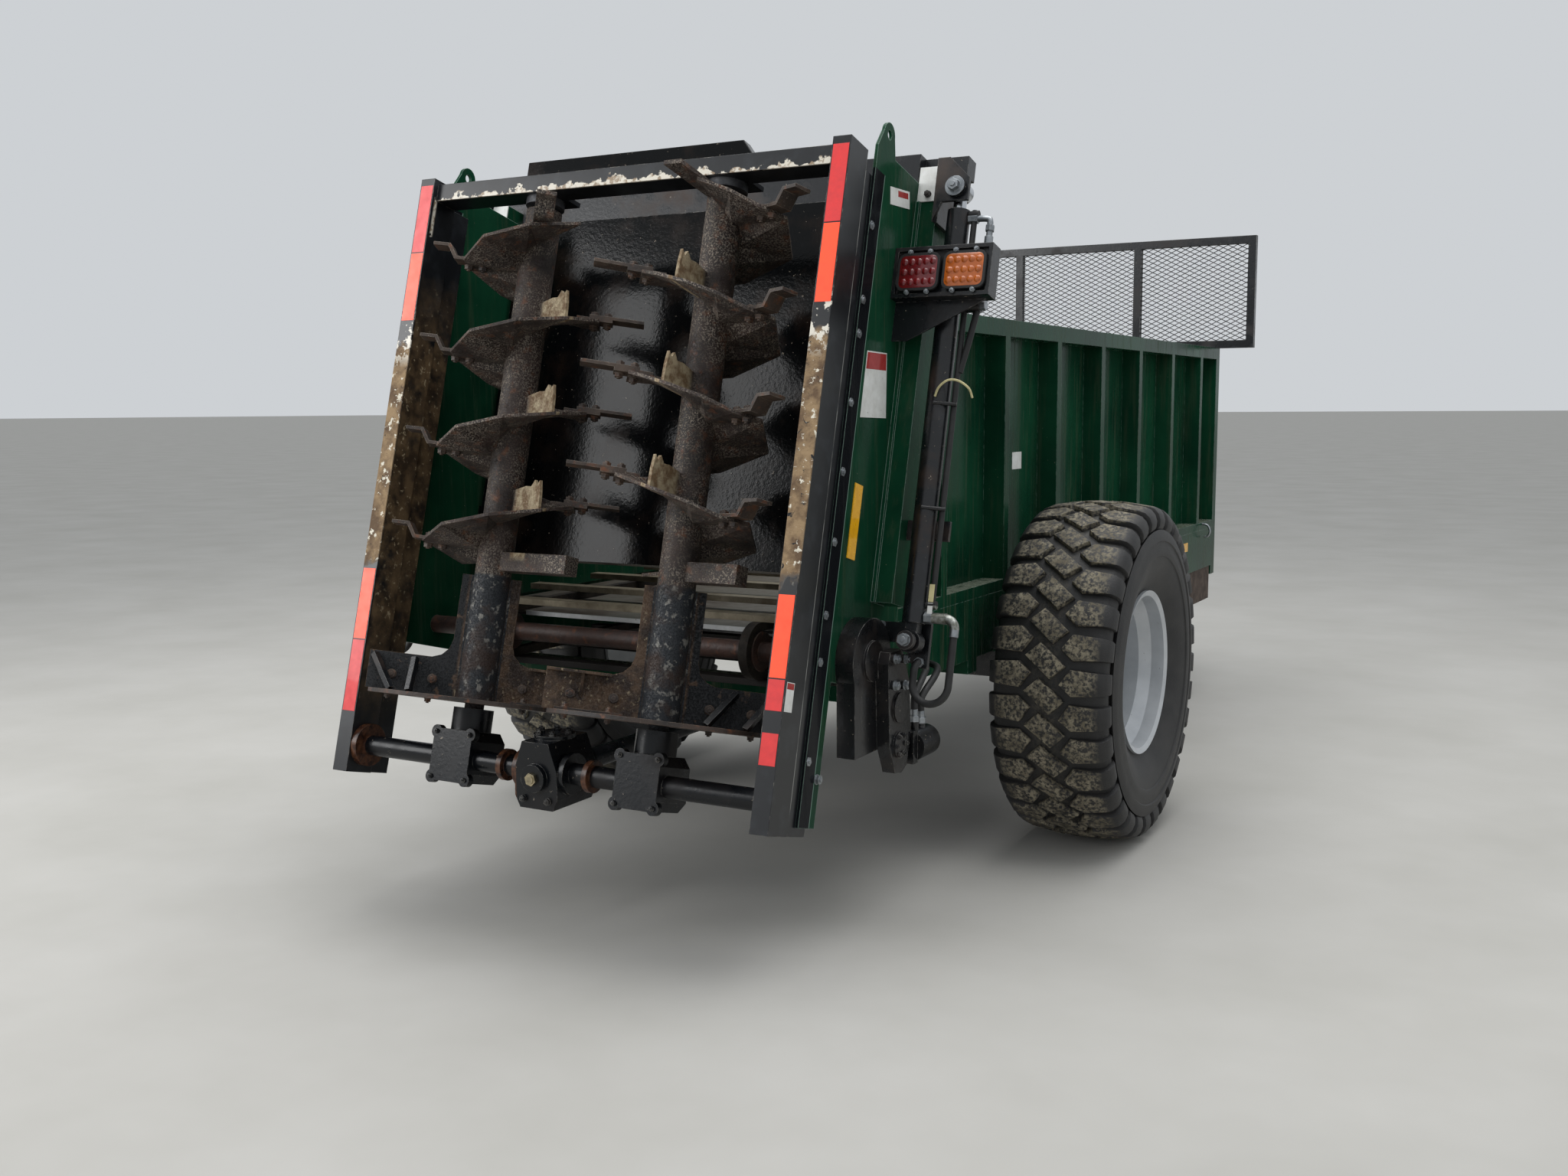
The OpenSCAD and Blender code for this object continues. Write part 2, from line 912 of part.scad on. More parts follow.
// the rings of one flighting: angle and height of its lower face, level under each knife
function rings(b) = [for (k = [-1:4])
    for (half = [0, 1])
        for (j = [0:4])
            let (u = j / 4,
                span = half == 0 ? inner(b) : 1 - inner(b),
                from = half == 0 ? b[0] : b[1],
                a = from + level + (span * 360 - 2 * level) * u + k * 360,
                h = seat(b, k, half * inner(b) + span * u) - flight_t)
            if (h >= flight_low && h <= min(b[3], tube_top - 15)) [a, h]];

// a turning beater: tube with its stubs
module beater_tube()
{
    translate([0, 0, tube_low])
        rotate([0, 0, 13])
            cylinder(h = tube_top - tube_low, r = beater_tube_r, $fn = 64);
    translate([0, 0, stub_low])
        cylinder(h = tube_low + 20 - stub_low, r = 30, $fn = 48);
    translate([0, 0, tube_top - 20])
        cylinder(h = beam_low + 15 - tube_top, r = 25, $fn = 48);
}

// the flighting: bent flat pieces round the tube, in one closed strip
module flighting(b)
{
    q = rings(b);
    n = len(q) - 1;
    pts = [for (v = q)
            for (dz = [0, flight_t])
                for (r = [beater_tube_r - 3, flight_r])
                    [r * cos(v[0]), -r * sin(v[0]), v[1] + dz]];
    sides = [for (i = [0:n - 1])
            for (f = [[0, 5, 1], [0, 4, 5], [2, 3, 7], [2, 7, 6], [1, 7, 3], [1, 5, 7], [0, 6, 4],
                [0, 2, 6]])
                [for (k = f) k + 4 * i]];
    ends = [[0, 3, 2], [0, 1, 3], [4 * n, 4 * n + 3, 4 * n + 1], [4 * n, 4 * n + 2, 4 * n + 3]];
    polyhedron(points = pts, faces = concat(sides, ends));
}

// a plate that stands in a plane through the axis, drawn by its corners in radius and height
module radial(a, t, pts)
{
    rotate([0, 0, -a])
        plate_y(-t / 2, t / 2, pts);
}

// bolted knives, two in each turn, on the level parts of the flighting
module knives(b)
{
    for (k = [0:2])
    {
        h = seat(b, k, inner(b)) + 0.2;
        radial(b[1], knife_w, [[150, h], [265, h], [265, h + 10], [bar_knife_r, h + 10],
            [bar_knife_r, h + 20], [190, h + 20], [190, h + 10], [150, h + 10]]);
    }
    for (k = [0:3])
    {
        h = seat(b, k, 0) + 0.2;
        if (h < b[3])
            radial(b[0], knife_w, [[150, h], [262, h], [286, h + 40], [knife_r, h + 40],
                [knife_r, h + 50], [280, h + 50], [256, h + 10], [150, h + 10]]);
    }
}

// torn upright teeth on the flighting, one in each turn
module teeth(b)
{
    for (k = [0:3])
    {
        h = seat(b, k, (b[1] - 50 - b[0]) / 360) - flight_t / 2;
        if (h < b[3] - 40)
            radial(b[1] - 50, 10, [[beater_tube_r - 6, h], [200, h], [196, h + 60], [188, h + 100],
                [176, h + 84],
                [162, h + 102], [146, h + 82], [118, h + 84], [beater_tube_r - 6, h + 72]]);
    }
}

// the two fins over the spreading disc, beside the tube and out over the disc
module beater_fins(b)
{
    low = disc_low + 12.3;
    for (a = [b[1], b[1] + 180])
    {
        radial(a, 10, [[50, low], [fin_r, low], [fin_r, arm_top], [150, arm_top], [122, arm_top + 10],
            [101, arm_top + 32], [92, arm_top + 62], [92, fin_top], [50, fin_top]]);
        rotate([0, 0, -a])
            box([155, 4, arm_top - 8], [fin_r, 40, arm_top]);
        rotate([0, 0, -a])
            translate([235, 0, 0])
                plate_x(-4, 4, [[4, arm_top - 80], [36, arm_top - 8], [4, arm_top - 8]]);
    }
    rotate([0, 0, -b[4]])
        box([40, -32, fin_top + 20], [b[5], 32, fin_top + 78]);
}

// a spreading disc with the feet of the fins
module beater_disc(b)
{
    difference()
    {
        union()
        {
            translate([0, 0, disc_low])
                cylinder(h = 12, r = disc_r, $fn = 96);
            for (a = [b[1], b[1] + 180])
                rotate([0, 0, -a])
                    box([110, 5.3, disc_low + 6], [disc_r - 20, 45, disc_low + 20]);
        }
        translate([0, 0, disc_low - 5])
            cylinder(h = 30, r = 30 + run, $fn = 48);
    }
}

// puts a piece on the axis of the right beater, or of the left one
module on_beater(side)
{
    slant()
        mirror([side < 0 ? 1 : 0, 0, 0])
            translate([beater_x, beater_off, 0])
                children();
}

module beater(side, b)
{
    color("sienna")
        on_beater(side)
        {
            beater_tube();
            flighting(b);
            teeth(b);
            beater_fins(b);
        }
}

module right_beater()
{
    high = tube_top - 7;
    beater(1, RIGHT);
    color("sienna")
        on_beater(1)
            radial(90, 60, [[50, high - 12], [300, high - 12], [300, high], [50, high]]);
}

module right_knives()
{
    color("sienna")
        on_beater(1)
            knives(RIGHT);
}

module right_disc()
{
    color("sienna")
        on_beater(1)
            beater_disc(RIGHT);
}

module left_beater()
{
    high = tube_top - 85;
    beater(-1, LEFT);
    color("sienna")
        on_beater(-1)
            radial(130, 60, [[50, high - 12], [262, high - 12], [286, high + 30], [knife_r, high + 30],
                [knife_r, high + 42], [280, high + 42], [256, high], [50, high]]);
}

module left_knives()
{
    color("sienna")
        on_beater(-1)
            knives(LEFT);
}

module left_disc()
{
    color("sienna")
        on_beater(-1)
            beater_disc(LEFT);
}

module drive_shaft()
{
    color("black")
        place()
        {
            bar_y(0, tee_y + 102, box_front + 20, tee_z, 25);
            bar_y(0, box_front + 20, box_front + 100, tee_z, stub_r);
            bar_y(0, tee_y + 160, 1400, tee_z, 32);
            bar_y(0, 1480, 2900, tee_z, 32);
            bar_y(0, 2980, box_front - 170, tee_z, 32);
        }
}

// the tread in one pitch: a slanted block in the middle and a block over each shoulder
module tread_blocks()
{
    w = tyre_w / 2;
    top = tyre_r - 4;
    plate_x(carcass_r - 10, top, [[18, -72], [68, -20], [-18, 72], [-68, 20]]);
    for (side = [-1, 1])
        rotate([0, 0, side * 5])
            mirror([0, 0, side < 0 ? 1 : 0])
                plate_y(-40, 40, [[carcass_r - 12, 64], [top, 64], [top, w - 100], [top - 13, w - 45],
                    [top - 38, w - 17], [top - 66, w - 8], [top - 76, w - 14], [carcass_r - 30, w - 60]]);
}

module tyre()
{
    w = tyre_w / 2;
    b = rim_w / 2 - 12;
    bead = rim_r - 7.7;
    color("black")
        rotate([0, 90, 0])
        {
            rotate_extrude($fn = 96)
                polygon([[bead, -b + 0.3], [rim_r + 4, -b + 0.3], [rim_r + 40, -b - 4], [rim_r + 130, -w],
                    [tyre_r - 75, -w + 10], [carcass_r - 16, -w + 40], [carcass_r, -w + 110],
                    [carcass_r, w - 110],
                    [carcass_r - 16, w - 40], [tyre_r - 75, w - 10], [rim_r + 130, w],
                    [rim_r + 40, b + 4],
                    [rim_r + 4, b - 0.3], [bead, b - 0.3],
                    [bead, b - 30], [rim_r + 40, b - 24], [rim_r + 130, w - 30], [tyre_r - 85, w - 45],
                    [carcass_r - 27, w - 110], [carcass_r - 27, -w + 110], [tyre_r - 85, -w + 45],
                    [rim_r + 130, -w + 30],
                    [rim_r + 40, -b + 24], [bead, -b + 30]]);
            for (i = [0:lug_count - 1])
                rotate([0, 0, 90 + i * 360 / lug_count])
                    tread_blocks();
        }
}

module rim()
{
    b = rim_w / 2 - 12;
    color("silver")
        rotate([0, 90, 0])
        {
            rotate_extrude($fn = 96)
                polygon([[rim_r, -b - 12], [rim_r, -b], [rim_r - 8, -b], [rim_r - 8, -b + 40],
                    [rim_r - 40, -b + 80],
                    [rim_r - 40, b - 80], [rim_r - 8, b - 40], [rim_r - 8, b], [rim_r, b],
                    [rim_r, b + 12],
                    [rim_r - 20, b + 4], [rim_r - 20, b - 44], [rim_r - 52, b - 84],
                    [rim_r - 52, -b + 84],
                    [rim_r - 20, -b + 44], [rim_r - 20, -b - 4]]);
            rotate_extrude($fn = 96)
                polygon([[42 + run, -hub_in], [hub_r, -hub_in], [hub_r, -b + 52], [rim_r - 51, -b + 88],
                    [rim_r - 51, -b + 102], [hub_r - 10, -b + 66], [hub_r - 10, 130 - hub_in],
                    [0, 130 - hub_in],
                    [0, 118 - hub_in], [42 + run, 118 - hub_in]]);
        }
}

module right_tyre()
{
    place()
        translate([wheel_x, axle_y, tyre_r])
            tyre();
}

module right_rim()
{
    place()
        translate([wheel_x, axle_y, tyre_r])
            rim();
}

module left_tyre()
{
    mirror([1, 0, 0])
        right_tyre();
}

module left_rim()
{
    mirror([1, 0, 0])
        right_rim();
}

right_side_wall();
left_side_wall();
front_wall();
box_floor();
chassis_frame();
front_skirts();
drawbar();
towing_eye();
parking_jack();
jack_leg();
axle_beam();
rear_frame();
side_plates();
guide_caps();
cylinder_barrels();
cylinder_brackets();
hydraulic_lines();
apron_gearbox();
apron_motor();
apron_shafts();
apron_chains();
apron_slats();
beater_gearboxes();
beater_bearings();
shaft_bearings();
lamp_boxes();
tail_lamps();
indicator_lamps();
side_reflectors();
guard_frame();
guard_mesh();
gate_panel();
gate_beam();
cylinder_rods();
left_beater();
left_knives();
left_disc();
right_beater();
right_knives();
right_disc();
drive_shaft();
right_tyre();
right_rim();
left_tyre();
left_rim();
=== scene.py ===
# %% [markdown]
# Lesson: dressing a manure spreader.
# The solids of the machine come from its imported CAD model, in metres, at their real places.
# This script keeps them where they are, gives each a finish that follows the real surface,
# and adds what is too small or too fine for the solids: tread, lamps, tapes, bolts and mesh.

# %% Load the fixed frame
import json
import math

import bmesh
import bpy
from mathutils import Matrix, Vector


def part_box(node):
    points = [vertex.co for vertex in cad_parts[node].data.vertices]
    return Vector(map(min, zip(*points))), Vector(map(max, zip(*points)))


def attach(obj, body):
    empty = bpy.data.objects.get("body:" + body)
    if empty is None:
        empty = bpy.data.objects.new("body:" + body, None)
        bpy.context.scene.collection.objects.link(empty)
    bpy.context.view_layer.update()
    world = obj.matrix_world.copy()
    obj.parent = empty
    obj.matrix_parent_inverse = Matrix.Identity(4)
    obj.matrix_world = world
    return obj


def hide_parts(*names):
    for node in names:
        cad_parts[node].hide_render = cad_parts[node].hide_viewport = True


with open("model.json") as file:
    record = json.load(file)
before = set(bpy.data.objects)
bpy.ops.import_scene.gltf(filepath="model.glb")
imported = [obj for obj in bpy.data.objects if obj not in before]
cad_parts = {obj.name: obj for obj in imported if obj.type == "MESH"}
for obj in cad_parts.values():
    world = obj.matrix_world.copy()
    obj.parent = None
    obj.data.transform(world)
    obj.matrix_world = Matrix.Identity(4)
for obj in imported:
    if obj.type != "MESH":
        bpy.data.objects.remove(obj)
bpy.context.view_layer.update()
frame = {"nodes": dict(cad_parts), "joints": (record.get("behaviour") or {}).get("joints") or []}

MM = 0.001

# %% [markdown]
# The rear frame leans forward, and much of the machine is fitted along it. Its direction is read
# from the joint of the left beater, so that new pieces follow the frame and need no fitting.
# In the lean, a place is given as x, the distance ahead of the posts' rear face, and the distance up.

# %% Two coordinate systems
spin = next(j for j in frame["joints"] if j["name"] == "left_beater_spin")
lean_up = Vector(spin["axis"]).normalized()
lean_ahead = Vector((0, lean_up.z, -lean_up.y))
# the joint's point lies this far ahead of the posts' rear face and this far up
spin_ahead, spin_up = 0.100, 0.800
foot = Vector(spin["pos_m"]) - lean_up * spin_up - lean_ahead * spin_ahead
foot.x = 0
lean_angle = math.atan2(lean_up.y, lean_up.z)
LEAN = Matrix.Translation(foot) @ Matrix.Rotation(-lean_angle, 4, "X")
# along the box, Y is measured from the foot of the posts and Z from the ground
BOX = Matrix.Translation((0, foot.y, 0))
print("lean", round(math.degrees(lean_angle), 2), "degrees, foot at", [round(c, 3) for c in foot])

# %% [markdown]
# The camera stands behind the machine and to its right, at eye height. Its place, turn and focal
# length were solved from the edges of the box and of the posts. It is a phone's main camera, which
# is a lens of about 34 mm on a 36 mm sensor.

# %% Camera
camera_at = Vector((2.725, foot.y - 3.340, 1.580))
turn_left, look_down, roll = 0.5104, 0.1203, -0.0059
sensor_px, focal_px = 2048, 1938.7
ahead = Vector((-math.sin(turn_left) * math.cos(look_down),
                math.cos(turn_left) * math.cos(look_down), -math.sin(look_down)))
level_right = Vector((math.cos(turn_left), math.sin(turn_left), 0))
level_up = level_right.cross(ahead)
right = level_right * math.cos(roll) + level_up * math.sin(roll)
up = level_up * math.cos(roll) - level_right * math.sin(roll)
lens = bpy.data.cameras.new("camera")
lens.sensor_width = 36
lens.lens = 36 * focal_px / sensor_px
camera = bpy.data.objects.new("camera", lens)
camera.matrix_world = Matrix.Translation(camera_at) @ Matrix((right, up, -ahead)).transposed().to_4x4()
bpy.context.scene.collection.objects.link(camera)
bpy.context.scene.camera = camera
print("camera at", [round(c, 2) for c in camera_at], "lens", round(lens.lens, 1), "mm")

# %% [markdown]
# A material is a small network of nodes. One function adds a node, sets it and links it. A class keeps
# the network together and holds the steps that the finishes below share, each made of such nodes.
# Colours are given as the eye sees them, in sRGB hex, and one function turns them to linear values.

# %% Colour and node helpers
def hex_colour(code):
    """Linear RGBA of an sRGB hex code."""
    parts = [int(code[i:i + 2], 16) / 255 for i in (1, 3, 5)]
    return tuple(c / 12.92 if c <= 0.04045 else ((c + 0.055) / 1.055) ** 2.4 for c in parts) + (1,)


def put(tree, kind, inputs=None, **settings):
    """Adds one node; inputs are values or other nodes' sockets, by socket name or number."""
    node = tree.nodes.new("ShaderNode" + kind)
    for name, value in settings.items():
        setattr(node, name, value)
    for key, value in (inputs or {}).items():
        if isinstance(value, bpy.types.NodeSocket):
            tree.links.new(value, node.inputs[key])
        else:
            node.inputs[key].default_value = value
    return node


class Finish:
    """A new material with its places in metres and its shader, and the steps that finishes share."""

    def __init__(self, name):
        self.material = bpy.data.materials.new(name)
        self.material.use_nodes = True
        self.tree = self.material.node_tree
        self.tree.nodes.clear()
        self.where = put(self.tree, "TexCoord").outputs["Object"]
        self.shader = put(self.tree, "BsdfPrincipled")
        self.rounded = None
        put(self.tree, "OutputMaterial", {"Surface": self.shader.outputs[0]})

    def patches(self, size_mm, low, high, detail=4.0, roughness=0.6, distortion=0.0, pressed=(1, 1, 1)):
        """A mask of cloudy patches of about this size, from 0 under low to 1 over high.

        Where the places are pressed together along an axis, the patches run along it."""
        where = self.where
        if pressed != (1, 1, 1):
            where = put(self.tree, "Mapping", {"Vector": where, "Scale": pressed}).outputs[0]
        noise = put(self.tree, "TexNoise", {"Vector": where, "Scale": 1 / (size_mm * MM), "Detail": detail,
                                            "Roughness": roughness, "Distortion": distortion})
        return put(self.tree, "MapRange", {"Value": noise.outputs[0], "From Min": low,
                                           "From Max": high}).outputs[0]

    def layers(self, base, *coats):
        """Coats laid over a base one after the other; each is a mask with a hex code or a socket."""
        for mask, colour in coats:
            below, above = (hex_colour(c) if isinstance(c, str) else c for c in (base, colour))
            base = put(self.tree, "Mix", {0: mask, 6: below, 7: above}, data_type="RGBA").outputs[2]
        return base

    def overlap(self, mask, *others):
        """A mask that is 1 only where all of the masks are; a number weakens it."""
        for other in others:
            mask = put(self.tree, "Math", {0: mask, 1: other}, operation="MULTIPLY").outputs[0]
        return mask

    def between(self, value, low, high, soft):
        """1 where the value lies between low and high, with soft edges."""
        rise, fall = (put(self.tree, "MapRange", {"Value": value, "From Min": outer, "From Max": inner})
                      for outer, inner in ((low - soft, low + soft), (high + soft, high - soft)))
        return self.overlap(rise.outputs[0], fall.outputs[0])

    def edge_wear_and_highlight(self, radius_mm):
        """Rounds the shading at the edges; gives a mask of them, where paint wears first and where a painted
        highlight goes.
        """
        self.rounded = put(self.tree, "Bevel", {"Radius": radius_mm * MM}, samples=4).outputs[0]
        flat = put(self.tree, "NewGeometry").outputs["True Normal"]
        turn = put(self.tree, "VectorMath", {0: self.rounded, 1: flat}, operation="DOT_PRODUCT")
        return put(self.tree, "MapRange", {"Value": turn.outputs["Value"], "From Min": 0.985,
                                           "From Max": 0.85}).outputs[0]

    def in_the_lean(self):
        """Places in the leaning frame: as a vector, then distance from the middle, ahead and up."""
        turned = put(self.tree, "Mapping", {"Vector": self.where, "Location": tuple(foot),
                                            "Rotation": (-lean_angle, 0, 0)}, vector_type="TEXTURE")
        x, ahead_of, height = put(self.tree, "SeparateXYZ", {0: turned.outputs[0]}).outputs
        across = put(self.tree, "Math", {0: x}, operation="ABSOLUTE")
        return turned.outputs[0], across.outputs[0], ahead_of, height

    def done(self, base, mask, rough_low, rough_high, height, depth_mm):
        """Links the colour, the roughness from low to high along a mask, and a relief of real depth."""
        rough = put(self.tree, "MapRange", {"Value": mask, "To Min": rough_low, "To Max": rough_high})
        bump = put(self.tree, "Bump", {"Height": height, "Distance": depth_mm * MM, "Strength": 1.0})
        if self.rounded is not None:
            self.tree.links.new(self.rounded, bump.inputs["Normal"])
        for socket, value in (("Base Color", base), ("Roughness", rough.outputs[0]),
                              ("Normal", bump.outputs[0])):
            self.tree.links.new(value, self.shader.inputs[socket])
        return self.material


# %% [markdown]
# The box and the side plates are sheet steel with dark green alkyd enamel, sprayed on. It is glossy
# where it is clean, dusty low down and on what faces up. Its edges are lighter: partly worn to light
# metal, partly a painted highlight. Beside each post the plate is black, up to a light line along the
# lean, which is a painted highlight of a fold.

# %% Green enamel
# where the black beside the post ends, where the painted highlight line beside it ends, and how high both go
black_from_post, painted_highlight_line_to, black_up_to = 0.212, 0.2155, 1.93


def green_enamel(name, dust, edge_low=0.42, worn_and_highlit_edge_code="#6E8478", black_beside_post=False):
    m = Finish(name)
    edges = m.edge_wear_and_highlight(3.0)
    streaks = m.patches(28, 0.5, 0.74, pressed=(1, 1, 0.06))
    normal = put(m.tree, "NewGeometry").outputs["True Normal"]
    upward = m.between(put(m.tree, "SeparateXYZ", {0: normal}).outputs[2], 0.9, 2, 0.05)
    base = m.layers("#0C3021", (m.patches(350, 0.35, 0.7), "#17452F"))
    base = m.layers(base, (m.overlap(streaks, dust), "#4A4C3C"), (m.patches(9, 0.70, 0.74, 6.0), "#8D927F"),
                    (m.overlap(upward, m.patches(45, 0.25, 0.5)), "#757C6E"))
    if black_beside_post:
        ahead_of, height = m.in_the_lean()[2:]
        low_part = m.between(height, -1, black_up_to, 0.001)
        black = m.between(ahead_of, -1, black_from_post, 0.0005)
        # a painted highlight: a light line along the lean, where the plate folds
        painted_highlight_line = m.between(ahead_of, black_from_post, painted_highlight_line_to, 0.0005)
        base = m.layers(base, (m.overlap(black, low_part), "#141619"),
                        (m.overlap(painted_highlight_line, low_part), "#6F8A7E"))
    # the edges turn light green: partly worn paint, partly a painted highlight
    chipped_and_highlit = m.overlap(edges, m.patches(22, edge_low, edge_low + 0.18))
    m.shader.inputs["Specular IOR Level"].default_value = 0.06
    orange_peel = m.patches(14, 0.3, 0.7, 2.0)
    return m.done(m.layers(base, (chipped_and_highlit, worn_and_highlit_edge_code)), streaks, 0.17, 0.42, orange_peel, 0.15)


box_green = green_enamel("alkyd_enamel_green_sprayed", 0.35)
# the frame and the side plates get more continuous light edges: partly wear, partly painted highlight
frame_green = green_enamel("alkyd_enamel_green_dusty", 0.6, 0.40, "#7F958A")
plate_green = green_enamel("alkyd_enamel_green_on_plate", 0.3, 0.22, "#8FA89B", True)

# %% [markdown]
# The gate, the gearboxes, the cylinders and the lamp brackets are black enamel, shinier and darker,
# with brown stains where manure has dried and light chips on the corners.

# %% Black enamel
def black_enamel(name, rust_share, base_code="#131518", grey_share=0.5, sheen=0.5, bare_at=(),
                 rough_range=(0.27, 0.6)):
    """Black enamel; bare_at holds ranges of the distance from the middle that have rusted."""
    m = Finish(name)
    edges = m.edge_wear_and_highlight(2.5)
    stain = m.patches(160, 0.5, 0.72)
    base = m.layers(base_code, (m.overlap(stain, rust_share), "#3B2A1F"),
                    (m.overlap(m.patches(60, 0.55, 0.75), grey_share), "#2C2F33"),
                    (m.patches(12, 0.68, 0.72, 6.0), "#9A8F80"),
                    (m.overlap(edges, m.patches(26, 0.47, 0.62)), "#8F8C86"))
    rust = m.layers("#3A2319", (m.patches(18, 0.4, 0.6), "#5A3A28"))
    across = put(m.tree, "SeparateXYZ", {0: m.where}).outputs[0]
    for low, high in bare_at:
        here = m.overlap(m.between(across, low, high, 0.002), m.patches(30, 0.3, 0.5))
        base = m.layers(base, (here, rust))
    m.shader.inputs["Specular IOR Level"].default_value = sheen
    orange_peel = m.patches(12, 0.3, 0.7, 2.0)
    return m.done(base, stain, *rough_range, orange_peel, 0.15)


black_clean = black_enamel("black_enamel_sprayed", 0.25)
black_stained = black_enamel("black_enamel_stained", 0.8)
black_oily = black_enamel("black_enamel_on_cast_iron", 0.35, "#0E0F11")
drive_black = black_enamel("black_enamel_of_the_cross_drive", 0.12, "#0B0E12", 0.15, 0.32,
                           ((-0.745, -0.715), (-0.171, -0.147), (0.147, 0.171), (-0.097, -0.073)))
gate_black = black_enamel("black_enamel_of_the_gate", 0.25, "#060708", 0.06, 0.16, (), (0.12, 0.2))

# %% [markdown]
# The posts and the top beam are black enamel too, but what leaves the beaters has scoured the rear
# faces of the posts down to tan and rusty steel between the tapes, and has chipped the lower edge
# of the beam. The wear is placed with the coordinates of the lean, in metres.

# %% Worn posts
def worn_posts():
    m = Finish("black_enamel_worn_posts")
    edges = m.edge_wear_and_highlight(2.5)
    across, ahead_of, height = m.in_the_lean()[1:]
    coarse = put(m.tree, "TexNoise", {"Vector": m.where, "Scale": 14, "Detail": 6.0}).outputs[0]
    fine = put(m.tree, "TexNoise", {"Vector": m.where, "Scale": 55, "Detail": 5.0}).outputs[0]

    def moved(value, noise, amount):
        """A distance whose limits come out ragged, because a noise is added to it."""
        return put(m.tree, "Math", {0: noise, 1: amount, 2: value}, operation="MULTIPLY_ADD").outputs[0]

    base = m.layers("#15171A", (m.patches(70, 0.5, 0.7), "#24272B"))
    # the rear faces between the tapes: tan with white and black flecks, and white chips at the top
    rear_face = put(m.tree, "Math", {0: ahead_of, 1: 0.004}, operation="LESS_THAN").outputs[0]
    ragged = moved(height, coarse, 0.22)
    bare = m.overlap(m.between(ragged, 0.80, 1.50, 0.02), rear_face)
    tan = m.layers("#9A8160", (m.patches(55, 0.4, 0.62), "#644E38"), (m.patches(24, 0.60, 0.64), "#E2DCCB"),
                   (m.patches(30, 0.62, 0.66, 5.0, 0.6, 1.0), "#181A1D"))
    chips = m.overlap(m.between(height, 1.35, 1.50, 0.03), rear_face, m.patches(32, 0.52, 0.55))
    # the lower edge of the beam, between the posts
    torn = m.overlap(m.between(ahead_of, 0.012, 0.024, 0.003),
                     m.between(moved(moved(height, fine, -0.05), coarse, -0.09), 1.70, 1.838, 0.0015),
                     m.between(across, -1, 0.7425, 0.0005))
    under_paint = m.layers("#DCD5C6", (m.patches(20, 0.5, 0.6), "#96826A"))
    # a light scratch runs down the outer side of each post
    scratch = m.overlap(m.between(ahead_of, 0.1085, 0.1115, 0.0003), m.between(across, 0.7995, 1, 0.0002),
                        m.patches(80, 0.35, 0.55))
    # the load has left the inner faces of the posts and channels tan
    inside = m.overlap(m.between(across, 0.70, 0.7695, 0.0005), m.between(ahead_of, 0.006, 0.30, 0.002),
                       m.between(ragged, 0.42, 1.62, 0.15), m.patches(90, 0.30, 0.48))
    clay = m.layers("#6E5A42", (m.patches(60, 0.4, 0.62), "#3E3226"),
                    (m.patches(16, 0.60, 0.66, 6.0), "#A8987C"))
    base = m.layers(base, (bare, tan), (chips, "#E4DED0"), (torn, under_paint),
                    (m.overlap(edges, m.patches(30, 0.5, 0.62)), "#A9A297"), (scratch, "#8C8C88"),
                    (inside, clay))
    flakes = m.overlap(bare, m.patches(18, 0.4, 0.6))
    return m.done(base, bare, 0.3, 0.8, flakes, -0.8)


post_finish = worn_posts()

# %% [markdown]
# The beaters have no paint left. Hot rolled steel has rusted to a dark brown and is covered with a
# fine crust of dried manure and lime, in light grey and beige specks of 4 to 10 mm. On the beaters
# the darkest brown is partly painted shade, darker than the rust of the knives.

# %% Rusty steel of the beaters
def rusty_steel(name, dark, brown, speck, speck_share, edge="#8B7765", speck_mm=7):
    """Rust with a crust: the material, and what a finish that is laid over it needs."""
    m = Finish(name)
    edges = m.edge_wear_and_highlight(2.0)
    crust = m.patches(speck_mm, speck_share, speck_share + 0.06, 5.0, 0.75)
    worn_and_highlit_edge = m.overlap(edges, m.patches(30, 0.35, 0.6))
    base = m.layers(dark, (m.patches(120, 0.38, 0.66), brown), (m.patches(35, 0.56, 0.72), "#6B4026"),
                    (m.overlap(crust, m.patches(180, 0.36, 0.56)), speck), (worn_and_highlit_edge, edge))
    pits = put(m.tree, "Math", {0: crust, 1: m.patches(16, 0.3, 0.7)}, operation="ADD").outputs[0]
    return m.done(base, crust, 0.55, 0.9, pits, 0.9), m, base, worn_and_highlit_edge


